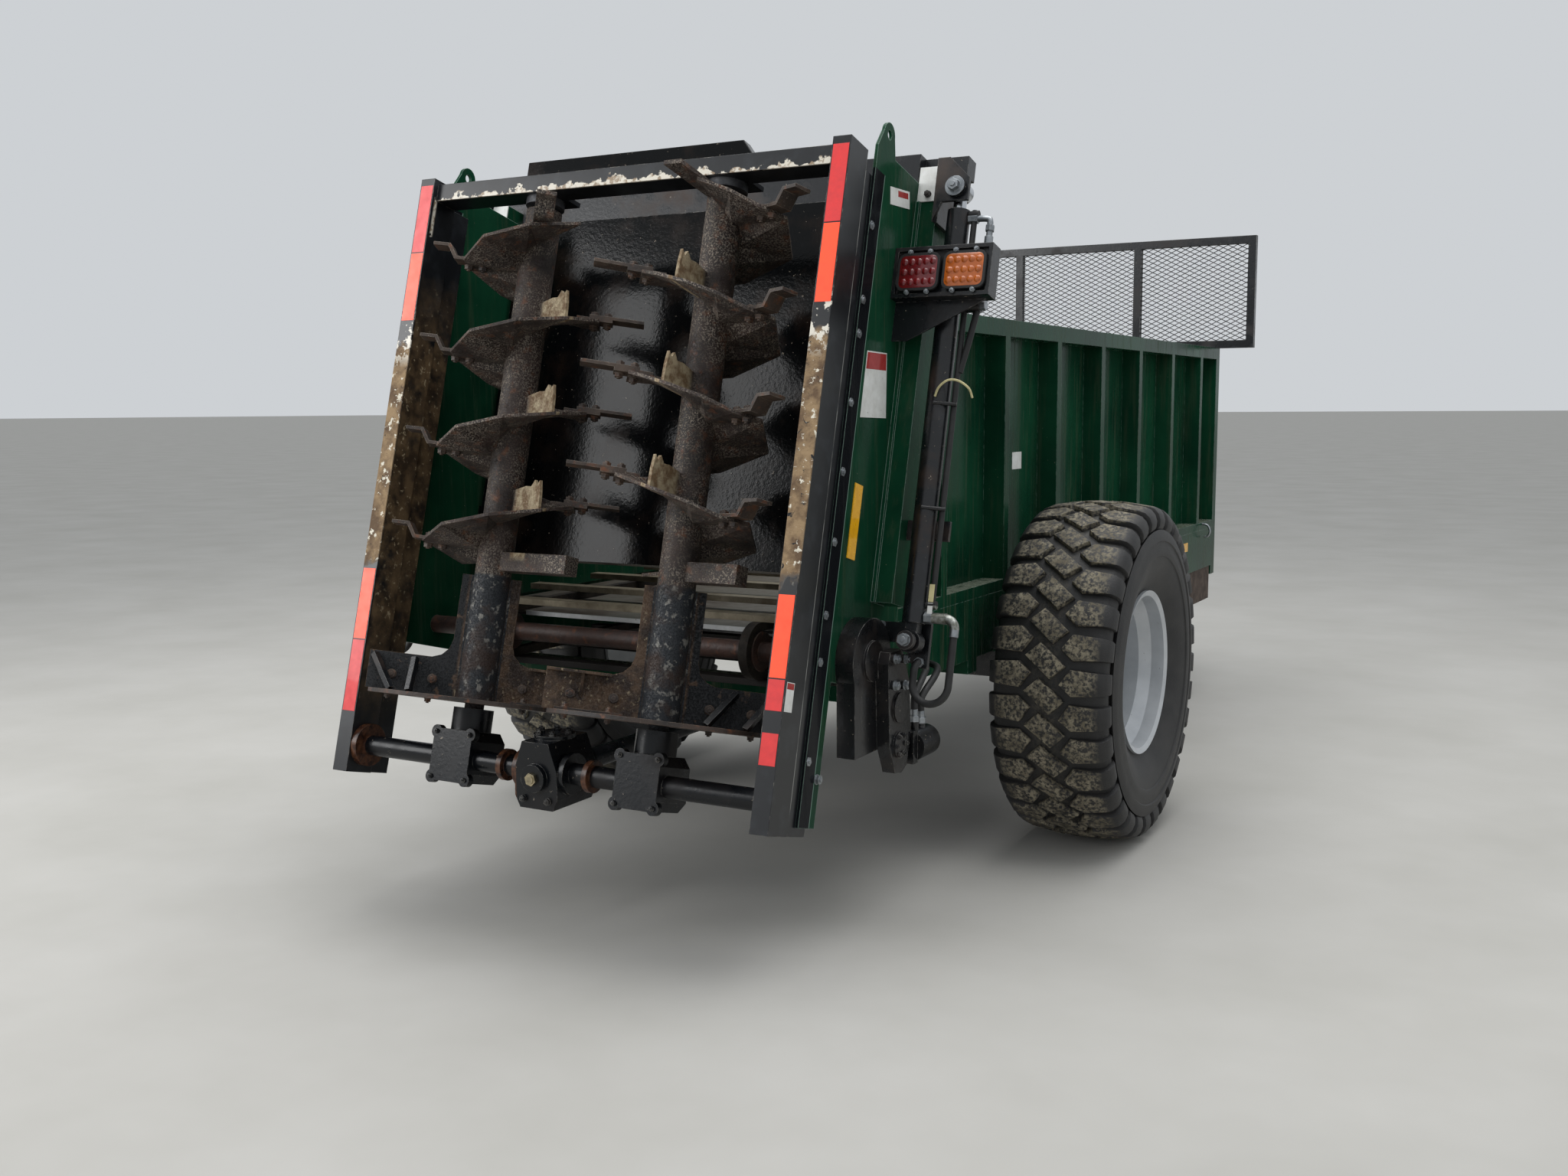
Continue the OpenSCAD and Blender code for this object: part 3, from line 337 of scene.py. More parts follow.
def rust_and_shade_of_beater(name, side, tooth_angle, fin_angle):
    """Rust of a whole beater, darkened by painted shade: tan torn teeth, black outer fins, old grey paint low
    on the tube.
    """
    # the two darkest rust colours here are partly painted shade, darker than the knives' rust
    material, m, base, edge = rusty_steel(name, "#1E1613", "#3A2A24", "#9C9184", 0.50, "#7D6B5A", 5)
    turned, height = m.in_the_lean()[::3]
    axis = put(m.tree, "VectorMath", {0: turned, 1: (side * beater_x, spin_ahead, 0)},
               operation="SUBTRACT").outputs[0]

    def along(angle, tangential):
        """Distance from the axis along a direction given by its angle, or across it."""
        a = math.radians(angle)
        direction = (math.sin(a), math.cos(a)) if tangential else (math.cos(a), -math.sin(a))
        return put(m.tree, "VectorMath", {0: axis, 1: (side * direction[0], direction[1], 0)},
                   operation="DOT_PRODUCT").outputs["Value"]

    tooth = m.overlap(m.between(along(tooth_angle, True), -0.008, 0.008, 0.001),
                      m.between(along(tooth_angle, False), 0.07, 0.24, 0.01),
                      m.between(height, 0.72, 1.80, 0.01))
    tan = m.layers("#B3A283", (m.patches(26, 0.4, 0.6, 5.0), "#7C6346"))
    # under the knives: rusty tan paddles, old blue grey paint on the tube and black outer fins;
    # their light rusty tan edges are partly wear and partly a painted highlight
    flat = put(m.tree, "VectorMath", {0: axis, 1: (1, 1, 0)}, operation="MULTIPLY").outputs[0]
    radius = put(m.tree, "VectorMath", {0: flat}, operation="LENGTH").outputs["Value"]
    paint = m.layers("#24282D", (m.patches(26, 0.56, 0.62, 6.0), "#84827C"),
                     (m.patches(110, 0.48, 0.62, 5.0), "#35261F"))
    black = m.layers("#17191C", (m.patches(45, 0.60, 0.66, 6.0), "#5F4A3A"))
    paddle = m.layers("#5E4937", (m.patches(60, 0.42, 0.6), "#33261E"),
                      (m.patches(14, 0.60, 0.68, 5.0), "#94856C"),
                      (m.between(radius, -1, 0.064, 0.001), paint),
                      (m.between(along(fin_angle, False), 0.070, 0.40, 0.004), black), (edge, "#8A6C4C"))
    base = m.layers(base, (tooth, tan), (m.between(height, 0.20, 0.665, 0.004), paddle))
    m.tree.links.new(base, m.shader.inputs["Base Color"])
    return material


beater_x = abs(spin["pos_m"][0])
right_beater_rust_and_shade = rust_and_shade_of_beater("hot_rolled_steel_rusted_and_shaded_right", 1, 92, 322)
left_beater_rust_and_shade = rust_and_shade_of_beater("hot_rolled_steel_rusted_and_shaded_left", -1, 164, 34)
knife_rust = rusty_steel("knife_steel_rusted", "#332B27", "#54453A", "#A59A8A", 0.60, "#B0A697")[0]
disc_rust = rusty_steel("disc_plate_rusted", "#241F1C", "#43342B", "#7F7567", 0.62)[0]
shaft_rust = rusty_steel("shaft_steel_rusted", "#2A1D19", "#472F26", "#6E5F50", 0.64)[0]

# %% [markdown]
# Some steel is only worn: the floor and the slats are scoured bright by the load, the jack is zinc
# plated, the chains are dark with dirt, and a cylinder rod is hard chrome on ground steel.

# %% Bare metals
def bare_metal(name, light, dark, rough_low, rough_high, grain_mm, metal=1.0, dirty_below=None):
    m = Finish(name)
    m.edge_wear_and_highlight(2.0)
    clouds = m.patches(grain_mm, 0.35, 0.65)
    base = m.layers(light, (clouds, dark), (m.patches(11, 0.64, 0.70, 6.0), "#5A3C28"))
    if dirty_below:
        height = put(m.tree, "SeparateXYZ", {0: m.where}).outputs[2]
        base = m.layers(base, (m.between(height, -1, dirty_below, 0.002), "#1A1613"))
    m.shader.inputs["Metallic"].default_value = metal
    scratches = m.patches(3, 0.3, 0.7, pressed=(1, 0.1, 1))
    return m.done(base, clouds, rough_low, rough_high, scratches, 0.1)


floor_steel = bare_metal("floor_plate_scoured", "#77736B", "#4A4239", 0.4, 0.7, 240, 0.6, 0.903)
slat_steel = bare_metal("slat_steel_scoured", "#8F8672", "#5D5342", 0.45, 0.7, 120, 0.4, 0.900)
chain_steel = bare_metal("chain_steel_dirty", "#3A332C", "#1E1B19", 0.5, 0.8, 60, 0.5)
zinc = bare_metal("zinc_plated_steel", "#A7ABAE", "#7E8387", 0.35, 0.55, 30)
chrome = bare_metal("hard_chrome_ground", "#C9CCD0", "#B4B8BC", 0.08, 0.16, 90)
cast_grey = bare_metal("cast_iron_worn", "#5B5C5E", "#34353A", 0.45, 0.7, 45, 0.4)
lip_steel = bare_metal("plate_edge_polished_by_load", "#C9CBCC", "#A9AAA8", 0.3, 0.5, 90, 0.5)

# %% [markdown]
# A big farm tyre is black rubber, vulcanised in a mould. On the tread the tops of the blocks are
# coated with dried beige mud, speckled where it has come off, and the grooves stay dark. The mask is
# the distance from the wheel's own axis, so it turns with the wheel.

# %% Tyre rubber
wheel_joints = {j["child"]: Vector(j["pos_m"]) for j in frame["joints"] if "wheel" in j["name"]}
tyre_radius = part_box("right_tyre")[1].z - wheel_joints["right_wheel"].z


def tyre_rubber(name, centre):
    m = Finish(name)
    local = put(m.tree, "VectorMath", {0: m.where, 1: tuple(centre)}, operation="SUBTRACT").outputs[0]
    flat = put(m.tree, "VectorMath", {0: local, 1: (0, 1, 1)}, operation="MULTIPLY").outputs[0]
    radius = put(m.tree, "VectorMath", {0: flat}, operation="LENGTH").outputs["Value"]
    tops = put(m.tree, "MapRange", {"Value": radius, "From Min": tyre_radius - 0.022,
                                    "From Max": tyre_radius - 0.012}).outputs[0]
    mud = m.overlap(tops, m.patches(13, 0.44, 0.56, 6.0, 0.7))
    mud_colour = m.layers("#8F8774", (m.patches(50, 0.4, 0.6), "#6A6353"))
    rubber = m.layers("#1B1B1C", (m.patches(90, 0.35, 0.75), "#2D2C2B"))
    grain = m.patches(5, 0.3, 0.7, 5.0)
    return m.done(m.layers(rubber, (mud, mud_colour)), mud, 0.55, 0.92, grain, 0.5)


# %% [markdown]
# Small finishes: silver paint on the rims, red and amber polycarbonate lenses, white and tan
# plastics, retroreflective tape, hose rubber and brass. Each has a little dirt and unevenness.
# The tapes and the yellow reflector also get a weak emission, a painted glow, as they are no lamps.

# %% Small finishes
def coated(name, colour, second, rough_low, rough_high, size_mm=60, metal=0.0, coat=0.0, painted_glow=0.0,
           spots="#4A3A2C"):
    m = Finish(name)
    m.edge_wear_and_highlight(1.5)
    clouds = m.patches(size_mm, 0.35, 0.7)
    base = m.layers(colour, (clouds, second), (m.patches(10, 0.68, 0.72, 6.0), spots))
    for socket, value in (("Metallic", metal), ("Coat Weight", coat), ("Emission Strength", painted_glow),
                          ("Emission Color", hex_colour(colour))):
        m.shader.inputs[socket].default_value = value
    return m.done(base, clouds, rough_low, rough_high, clouds, 0.1)


rim_silver = coated("silver_paint_on_rim", "#C6C9CC", "#AEB2B6", 0.38, 0.5, 200, 0.25)
red_lens = coated("polycarbonate_red", "#7E1016", "#5E0C12", 0.15, 0.3, 30, 0, 0.6)
amber_lens = coated("polycarbonate_amber", "#C8661E", "#A8521A", 0.15, 0.3, 30, 0, 0.6)
# the reflector and the two tapes below glow a little: painted glow
yellow_lens = coated("reflector_yellow_painted_glow", "#E2A812", "#C98F0C", 0.25, 0.4, 20, 0, 0.5, 0.1)
orange_tape = coated("tape_fluorescent_orange_painted_glow", "#FF4B1E", "#F5431A", 0.35, 0.5, 30, 0, 0.3, 0.35,
                     "#D63A1A")
red_tape = coated("tape_retroreflective_red_painted_glow", "#D62A2A", "#C22225", 0.35, 0.5, 30, 0, 0.3, 0.2, "#A81C1E")
white_plastic = coated("white_enamel", "#E4E5E2", "#CFCFCA", 0.4, 0.55, 40)
hose_black = coated("hose_rubber_extruded", "#151516", "#232323", 0.5, 0.7, 40)
tag_cream = coated("tag_plastic_cream", "#D9CF9C", "#BFB68A", 0.5, 0.7, 25)
mud_brown = coated("mud_coated_skirt", "#4A3A2E", "#30241C", 0.7, 0.9, 50, spots="#1F1712")
brass = coated("brass_plug_turned", "#B5A88A", "#8C8470", 0.3, 0.4, 20, 1.0)
sticker_red = coated("sticker_print_red", "#A8231F", "#9A1F1C", 0.35, 0.5, 30, 0, 0.3)
bolt_rust = rusty_steel("bolt_steel_rusted", "#2A2422", "#54443A", "#8F8577", 0.62)[0]


def hydraulic_line():
    """Black pipes and hoses with a zinc plated elbow low down, where a hose leaves the pipe."""
    m = Finish("hose_rubber_and_zinc_elbow")
    across, height = m.in_the_lean()[1::2]
    elbow = m.overlap(m.between(across, 1.012, 1.2, 0.001), m.between(height, 0.625, 0.70, 0.001))
    black = m.layers("#151516", (m.patches(40, 0.35, 0.7), "#232323"))
    plated = m.layers("#A9ABA6", (m.patches(15, 0.4, 0.6), "#77786F"))
    m.tree.links.new(elbow, m.shader.inputs["Metallic"])
    grain = m.patches(6, 0.3, 0.7, 4.0)
    return m.done(m.layers(black, (elbow, plated)), elbow, 0.6, 0.42, grain, 0.1)


line_finish = hydraulic_line()
print("materials:", len(bpy.data.materials))

# %% Finish of every solid that stays in sight
finish = {
    box_green: ["right_side_wall", "left_side_wall", "front_wall"],
    frame_green: ["chassis_frame", "drawbar"],
    plate_green: ["side_plates"],
    black_clean: ["lamp_boxes", "guard_frame", "guard_mesh", "axle_beam", "drive_shaft", "shaft_bearings"],
    gate_black: ["gate_panel"],
    black_stained: ["gate_beam", "cylinder_barrels", "cylinder_brackets"],
    black_oily: ["apron_gearbox", "apron_motor"],
    drive_black: ["beater_gearboxes"],
    post_finish: ["rear_frame"],
    right_beater_rust_and_shade: ["right_beater"],
    left_beater_rust_and_shade: ["left_beater"],
    knife_rust: ["left_knives", "right_knives"],
    disc_rust: ["left_disc", "right_disc"],
    floor_steel: ["box_floor"],
    slat_steel: ["apron_slats"],
    chain_steel: ["apron_chains"],
    shaft_rust: ["apron_shafts"],
    zinc: ["parking_jack", "jack_leg"],
    chrome: ["cylinder_rods"],
    cast_grey: ["beater_bearings", "towing_eye"],
    rim_silver: ["right_rim", "left_rim"],
    red_lens: ["tail_lamps"],
    amber_lens: ["indicator_lamps"],
    yellow_lens: ["side_reflectors"],
    white_plastic: ["guide_caps"],
    line_finish: ["hydraulic_lines"],
    mud_brown: ["front_skirts"],
}
for material, names in finish.items():
    for name in names:
        node_mesh = frame["nodes"][name].data
        node_mesh.materials.clear()
        node_mesh.materials.append(material)
print("finished nodes:", sum(len(names) for names in finish.values()))

# %% [markdown]
# New pieces are made with bmesh. Each is built near its place, moved there by a matrix, and made an
# object that rides on a body of the frame. A small pattern, such as a bolt, is modelled once and
# stamped many times into one mesh.

# %% Piece helpers
def at(x, y, z):
    """A matrix that moves to a place."""
    return Matrix.Translation((x, y, z))


def as_mesh(bm, name="pattern"):
    """The mesh of a finished bmesh; without a name of its own it is a pattern for stamping."""
    mesh = bpy.data.meshes.new(name)
    bm.to_mesh(mesh)
    bm.free()
    return mesh


def make_piece(name, bm, material, matrix, smooth=None, body="chassis"):
    """Turns a bmesh into an object at the origin that rides on a body."""
    bmesh.ops.transform(bm, matrix=matrix, verts=bm.verts)
    bmesh.ops.recalc_face_normals(bm, faces=bm.faces)
    mesh = as_mesh(bm, name)
    mesh.materials.append(material)
    if smooth is not None:
        mesh.shade_smooth()
        mesh.set_sharp_from_angle(angle=math.radians(smooth))
    piece = bpy.data.objects.new(name, mesh)
    bpy.context.scene.collection.objects.link(piece)
    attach(piece, body)
    print(name, "faces", len(mesh.polygons))
    return piece


def stamp(bm, pattern, matrix):
    """Adds a copy of a pattern at a place."""
    count = len(bm.verts)
    bm.from_mesh(pattern)
    bm.verts.ensure_lookup_table()
    bmesh.ops.transform(bm, matrix=matrix, verts=bm.verts[count:])


def everything(bm):
    """All parts of a bmesh, as the operations that cut take them."""
    return bm.verts[:] + bm.edges[:] + bm.faces[:]


def verts_in(geom):
    """The vertices among the parts that an operation gives back."""
    return [g for g in geom if isinstance(g, bmesh.types.BMVert)]


def round_edges(bm, edges, radius, segments=2):
    """Bevels edges to about a radius in metres."""
    bmesh.ops.bevel(bm, geom=edges, offset=radius, affect="EDGES", segments=segments, profile=0.5,
                    material=-1)


def around(count):
    """Cosine and sine of evenly spaced places round a circle."""
    return [(math.cos(a), math.sin(a)) for a in (2 * math.pi * k / count for k in range(count))]


def add_box(bm, low, high):
    """A cuboid between two corners; returns its vertices."""
    low, high = Vector(low), Vector(high)
    size = Matrix.Diagonal((*(high - low), 1))
    return bmesh.ops.create_cube(bm, size=1, matrix=at(*(low + high) / 2) @ size)["verts"]


def rod(bm, points, radius, sides=16, steps=6):
    """A round rod, hose or wire through points, bent smoothly between them."""
    points = [Vector(p) for p in points]
    padded = [2 * points[0] - points[1]] + points + [2 * points[-1] - points[-2]]
    path = []
    for a, b, c, d in zip(padded, padded[1:], padded[2:], padded[3:]):
        steps_here = steps if len(points) > 2 else 1
        for t in (k / steps_here for k in range(steps_here)):
            path.append((2 * b + (c - a) * t + (2 * a - 5 * b + 4 * c - d) * t ** 2
                         + (3 * b - a - 3 * c + d) * t ** 3) / 2)
    path.append(points[-1])
    side = (path[1] - path[0]).orthogonal()
    rings = []
    for before, here, after in zip(path[:1] + path, path, path[1:] + path[-1:]):
        along = (after - before).normalized()
        side = (side - along * side.dot(along)).normalized()
        third = along.cross(side)
        rings.append([bm.verts.new(here + radius * (side * c + third * s)) for c, s in around(sides)])
    for low, high in zip(rings, rings[1:]):
        for k in range(sides):
            bm.faces.new((low[k], low[k - 1], high[k - 1], high[k]))
    bm.faces.new(rings[0])
    bm.faces.new(rings[-1])


# %% [markdown]
# A tyre has a carcass, turned from its section, and a tread of separate blocks. The blocks are drawn
# flat, one pitch of the pattern at a time, and then wrapped round the crown and the shoulders. There
# are 32 pitches: a slanting block in the middle and a five sided block on each shoulder.

# %% Tyre
pitches = 32
crown_r, shoulder_r, crown_half, tread_half = 0.90, 0.045, 0.165, 0.262
lug_height = 0.020
carcass_r = tyre_radius - lug_height
# corners of one pitch in metres: u across the tyre, v round it
middle_block = [(-0.072, -0.016), (-0.020, -0.064), (0.072, 0.016), (0.020, 0.064)]
shoulder_block = [(0.047, -0.043), (0.084, -0.099), (0.262, -0.090), (0.262, -0.013), (0.090, -0.004)]
# where a block is cut, so that it can bend over the shoulder, and where its height starts to fade
bends, fade_from, fade_over = (0.165, 0.182, 0.199, 0.216, 0.233), 0.185, 0.077


def on_tread(u, w):
    """Distance from the middle of the tyre and radius of a point at u across and w above the carcass."""
    side = math.copysign(1, u)
    u = abs(u)
    if u < crown_half:
        angle = u / crown_r
        return side * (crown_r + w) * math.sin(angle), carcass_r - crown_r + (crown_r + w) * math.cos(angle)
    first = crown_half / crown_r
    angle = first + (u - crown_half) / shoulder_r
    centre = crown_r - shoulder_r
    x = centre * math.sin(first) + (shoulder_r + w) * math.sin(angle)
    return side * x, carcass_r - crown_r + centre * math.cos(first) + (shoulder_r + w) * math.cos(angle)


def tread_block(corners):
    """A block with tapered sides, still flat: x across, y round, z above the carcass."""
    bm = bmesh.new()
    face = bm.faces.new([bm.verts.new((u, v, -0.004)) for u, v in corners])
    top = verts_in(bmesh.ops.extrude_face_region(bm, geom=[face])["geom"])
    middle = sum((v.co for v in top), Vector()) / len(top)
    for v in top:
        outwards = v.co - middle
        v.co = Vector((middle.x + outwards.x * 0.95, middle.y + outwards.y * 0.93, lug_height))
    bmesh.ops.recalc_face_normals(bm, faces=bm.faces)
    round_edges(bm, [e for e in bm.edges if all(v.co.z > 0 for v in e.verts)], 0.003)
    for cut in bends:
        for side in (-1, 1):
            bmesh.ops.bisect_plane(bm, geom=everything(bm), plane_co=(side * cut, 0, 0), plane_no=(1, 0, 0))
    for v in bm.verts:
        fade = min(max((abs(v.co.x) - fade_from) / fade_over, 0), 1)
        v.co.z = v.co.z * (1 - 0.8 * fade) if v.co.z > 0 else v.co.z
    return as_mesh(bm)


def tyre(name, centre, body, replaced):
    bm = bmesh.new()
    middle, shoulder = tread_block(middle_block), tread_block(shoulder_block)
    for i in range(pitches):
        along = at(0, i * 2 * math.pi * tyre_radius / pitches, 0)
        for block, turn in ((middle, 0), (shoulder, 0), (shoulder, math.pi)):
            stamp(bm, block, along @ Matrix.Rotation(turn, 4, "Z"))
    for v in bm.verts:
        x, radius = on_tread(v.co.x, v.co.z)
        angle = v.co.y / tyre_radius
        v.co = Vector((x, radius * math.cos(angle), radius * math.sin(angle)))
    section = [on_tread(tread_half * i / 12, 0) for i in range(13)]
    # sidewall, bead and inside of the tyre as x, radius in metres
    section += [(0.2085, 0.520), (0.2165, 0.500), (0.2185, 0.480), (0.2145, 0.476), (0.2160, 0.458),
                (0.2190, 0.440), (0.2160, 0.425), (0.2120, 0.422), (0.2080, 0.400), (0.1960, 0.366),
                (0.1800, 0.335), (0.1700, 0.318), (0.1628, 0.304), (0.1626, 0.291), (0.135, 0.291),
                (0.140, 0.335), (0.186, 0.430), (0.178, 0.545), (0.120, 0.574), (0.0, 0.575)]
    ring = [bm.verts.new((x, r, 0)) for x, r in section]
    ring += [bm.edges.new(pair) for pair in zip(ring, ring[1:])]
    half = bmesh.ops.duplicate(bm, geom=ring)["geom"]
    bmesh.ops.scale(bm, vec=(-1, 1, 1), verts=verts_in(half))
    bmesh.ops.spin(bm, geom=ring + half, cent=(0, 0, 0), axis=(1, 0, 0), angle=2 * math.pi, steps=96,
                   use_merge=True)
    bmesh.ops.remove_doubles(bm, verts=bm.verts, dist=0.0001)
    rubber = tyre_rubber(name + "_rubber_moulded", centre)
    piece = make_piece(name, bm, rubber, at(*centre), 35, body)
    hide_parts(replaced)


for side in ("right", "left"):
    tyre(side + "_tyre_with_tread", wheel_joints[side + "_wheel"], side + "_wheel", side + "_tyre")

# %% [markdown]
# The lamps are sealed units: a rounded rectangular lens over rows of small domes, one for each light
# emitting diode, in a rubber rim. One unit is modelled and stamped on both sides.

# %% Lamps
lamp_half_w, lamp_half_h, rim_wall = 0.060, 0.050, 0.007
lamp_face, lamp_up, post_half = 0.336, 1.675, 0.80
dome_rows, dome_columns, dome_radius = 3, 5, 0.0105


def front_to_back(bm):
    """The edges of a box that run along Y."""
    return [e for e in bm.edges if abs(e.verts[0].co.y - e.verts[1].co.y) > 0.005]


def dome_lens():
    """A lens with rounded corners and a grid of domes, facing -Y."""
    bm = bmesh.new()
    add_box(bm, (-lamp_half_w, -0.006, -lamp_half_h), (lamp_half_w, 0.004, lamp_half_h))
    round_edges(bm, front_to_back(bm), 0.018, 5)
    round_edges(bm, [e for e in bm.edges if all(v.co.y < -0.005 for v in e.verts)], 0.002)
    for row in range(dome_rows):
        for column in range(dome_columns):
            x = (column - (dome_columns - 1) / 2) * 2 * lamp_half_w / (dome_columns + 0.3)
            z = (row - (dome_rows - 1) / 2) * 2 * lamp_half_h / (dome_rows + 0.3)
            bmesh.ops.create_uvsphere(bm, u_segments=12, v_segments=8, radius=dome_radius,
                                      matrix=at(x, -0.0055, z) @ Matrix.Diagonal((1, 0.45, 1, 1)))
    return as_mesh(bm)


def lamp_rim():
    """The rubber rim round a lens."""
    bm = bmesh.new()
    half_w, half_h = lamp_half_w + rim_wall, lamp_half_h + rim_wall
    add_box(bm, (-half_w, -0.009, -half_h), (half_w, 0.0, half_h))
    front = [f for f in bm.faces if f.normal.y < -0.5]
    bmesh.ops.inset_region(bm, faces=front, thickness=rim_wall, depth=0)
    round_edges(bm, front_to_back(bm), 0.022, 4)
    return as_mesh(bm)


# material, slot, replaced node, and distance of the middle from the side of the box
lamp_rows = {"tail": (red_lens, "red_lens", "tail_lamps", 0.095),
             "indicator": (amber_lens, "amber_lens", "indicator_lamps", 0.240)}
lens_mesh, rim_mesh, rims = dome_lens(), lamp_rim(), bmesh.new()
for lamp_name, (material, slot, node, out) in lamp_rows.items():
    lenses = bmesh.new()
    for x in (-post_half - out, post_half + out):
        stamp(lenses, lens_mesh, at(x, lamp_face, lamp_up))
        stamp(rims, rim_mesh, at(x, lamp_face + 0.0035, lamp_up))
    piece = make_piece(lamp_name + "_lenses", lenses, material, LEAN, 40)
    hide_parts(node)
make_piece("lamp_rims", rims, hose_black, LEAN, 40)

# %% [markdown]
# The posts carry strips of reflective tape, 50.8 mm wide and 228.6 mm long: at the top red over
# orange, low down orange over red. The lower red one on the right post is torn in two.

# %% Reflective tapes
tape_w, tape_l, tape_t, tape_gap = 0.0508, 0.2286, 0.0008, 0.004
tape_x = post_half - 0.029
red_top, orange_low = 1.941, 0.653
red_low = orange_low - tape_l - tape_gap
orange_bm, red_bm = bmesh.new(), bmesh.new()
# each strip: its mesh, where its middle and its top edge are, and its length
strips = []
for x in (-tape_x, tape_x):
    strips += [(red_bm, x, red_top, tape_l), (orange_bm, x, red_top - tape_l - tape_gap, tape_l),
               (orange_bm, x, orange_low, tape_l)]
strips += [(red_bm, -tape_x, red_low, tape_l), (red_bm, tape_x, red_low, 0.085),
           (red_bm, tape_x, red_low - 0.146, 0.088)]
for bm, x, top, length in strips:
    add_box(bm, (x - tape_w / 2, -tape_t, top - length), (x + tape_w / 2, 0.0, top))
make_piece("orange_tapes", orange_bm, orange_tape, LEAN)
make_piece("red_tapes", red_bm, red_tape, LEAN)

# %% [markdown]
# The guard on the front wall is expanded metal: sheet steel that is slit and pulled, so that it
# opens in diamonds of 50 by 25 mm with strands 4 mm wide. A grid turned by 45 degrees and squeezed
# gives the diamonds, and a wireframe of it gives the strands.

# %% Guard mesh
mesh_low, mesh_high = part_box("guard_mesh")
diamond_w, diamond_h, strand = 0.0508, 0.0254, 0.0042
to_diamond = Matrix.Diagonal((diamond_w / math.sqrt(2), 1, diamond_h / math.sqrt(2), 1))
stand_up = Matrix.Rotation(math.pi / 2, 4, "X") @ Matrix.Rotation(math.pi / 4, 4, "Z")
guard = bmesh.new()
# bays between the upright tubes, as left and right edge in metres
for left_edge, right_edge in ((-0.945, -0.365), (-0.325, 0.325), (0.365, 0.945)):
    part = bmesh.new()
    cells = int((right_edge - left_edge) / diamond_w + (mesh_high.z - mesh_low.z) / diamond_h) + 4
    bmesh.ops.create_grid(part, x_segments=cells, y_segments=cells, size=cells / 2)
    middle = at((left_edge + right_edge) / 2, 0, (mesh_low.z + mesh_high.z) / 2)
    bmesh.ops.transform(part, matrix=middle @ to_diamond @ stand_up, verts=part.verts)
    for point, normal in (((left_edge, 0, 0), (-1, 0, 0)), ((right_edge, 0, 0), (1, 0, 0)),
                          ((0, 0, mesh_low.z), (0, 0, -1)), ((0, 0, mesh_high.z), (0, 0, 1))):
        bmesh.ops.bisect_plane(part, geom=everything(part), plane_co=point, plane_no=normal, clear_outer=True)
    bmesh.ops.wireframe(part, faces=part.faces, thickness=strand, use_replace=True, use_even_offset=True,
                        use_boundary=True)
    stamp(guard, as_mesh(part), at(0, (mesh_low.y + mesh_high.y) / 2, 0))
expanded = make_piece("guard_expanded_metal", guard, black_clean, Matrix())
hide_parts("guard_mesh")

# %% [markdown]
# The machine is held together by hexagon bolts with washers. One bolt of each size is modelled and
# stamped where the real ones sit. What is bolted to a beater or a wheel turns with it.

# %% Bolt patterns
def bolt_pattern(across, height, washer):
    """A hexagon head on a washer, pointing along +Z from 0, with the end of its thread."""
    bm = bmesh.new()
    for low, high, radius, sides in ((0, 0.003, washer, 20), (0.003, 0.003 + height, across * 0.577, 6),
                                     (0.003 + height, 0.007 + height, across * 0.27, 12)):
        bmesh.ops.create_cone(bm, cap_ends=True, segments=sides, radius1=radius, radius2=radius,
                              depth=high - low, matrix=at(0, 0, (low + high) / 2))
    return as_mesh(bm)


m8, m12 = bolt_pattern(0.013, 0.005, 0.008), bolt_pattern(0.018, 0.008, 0.011)
m16, m20 = bolt_pattern(0.024, 0.010, 0.015), bolt_pattern(0.032, 0.016, 0.019)
to_right, to_left = (Matrix.Rotation(turn, 4, "Y") for turn in (math.pi / 2, -math.pi / 2))
to_rear, to_front = (Matrix.Rotation(turn, 4, "X") for turn in (math.pi / 2, -math.pi / 2))
to_ground = Matrix.Rotation(math.pi, 4, "X")

# %% Bolts on the chassis
cylinder_x = 0.953
bolts, black_bolts = bmesh.new(), bmesh.new()
for side, turned in ((1, to_right), (-1, to_left)):
    for height in (0.210, 0.488, 0.621, 0.830, 1.033, 1.235, 1.437, 1.538, 1.760):
        stamp(bolts, m16, at(side * post_half, 0.165, height) @ turned)
    stamp(bolts, m16, at(side * 0.810, 0.225, 0.163) @ turned)
    # the lower pin of the cylinder, and the screws that hold the lamps
    stamp(bolts, m20, at(side * cylinder_x, 0.400, 0.590) @ to_rear)
    for out in (0.095, 0.240):
        for x in (-0.032, 0.032):
            for z in (-0.061, 0.061):
                stamp(bolts, m8, at(side * (post_half + out + x), 0.337, lamp_up + z) @ to_rear)
    # the cap of the guide post, the ears of the bevel boxes, the foot of the cylinder bracket
    stamp(black_bolts, m12, at(side * 0.845, 0.446, 1.962) @ to_rear)
    for x in (-0.066, 0.066):
        for z in (0.026, 0.164):
            stamp(black_bolts, m8, at(side * 0.345 + x, 0.020, z) @ to_rear)
    for z in (0.605, 0.640):
        stamp(bolts, m12, at(side * 0.835, 0.490, z) @ to_rear)
make_piece("chassis_bolts", bolts, zinc, LEAN, 30)
make_piece("chassis_black_bolts", black_bolts, black_oily, LEAN, 30)

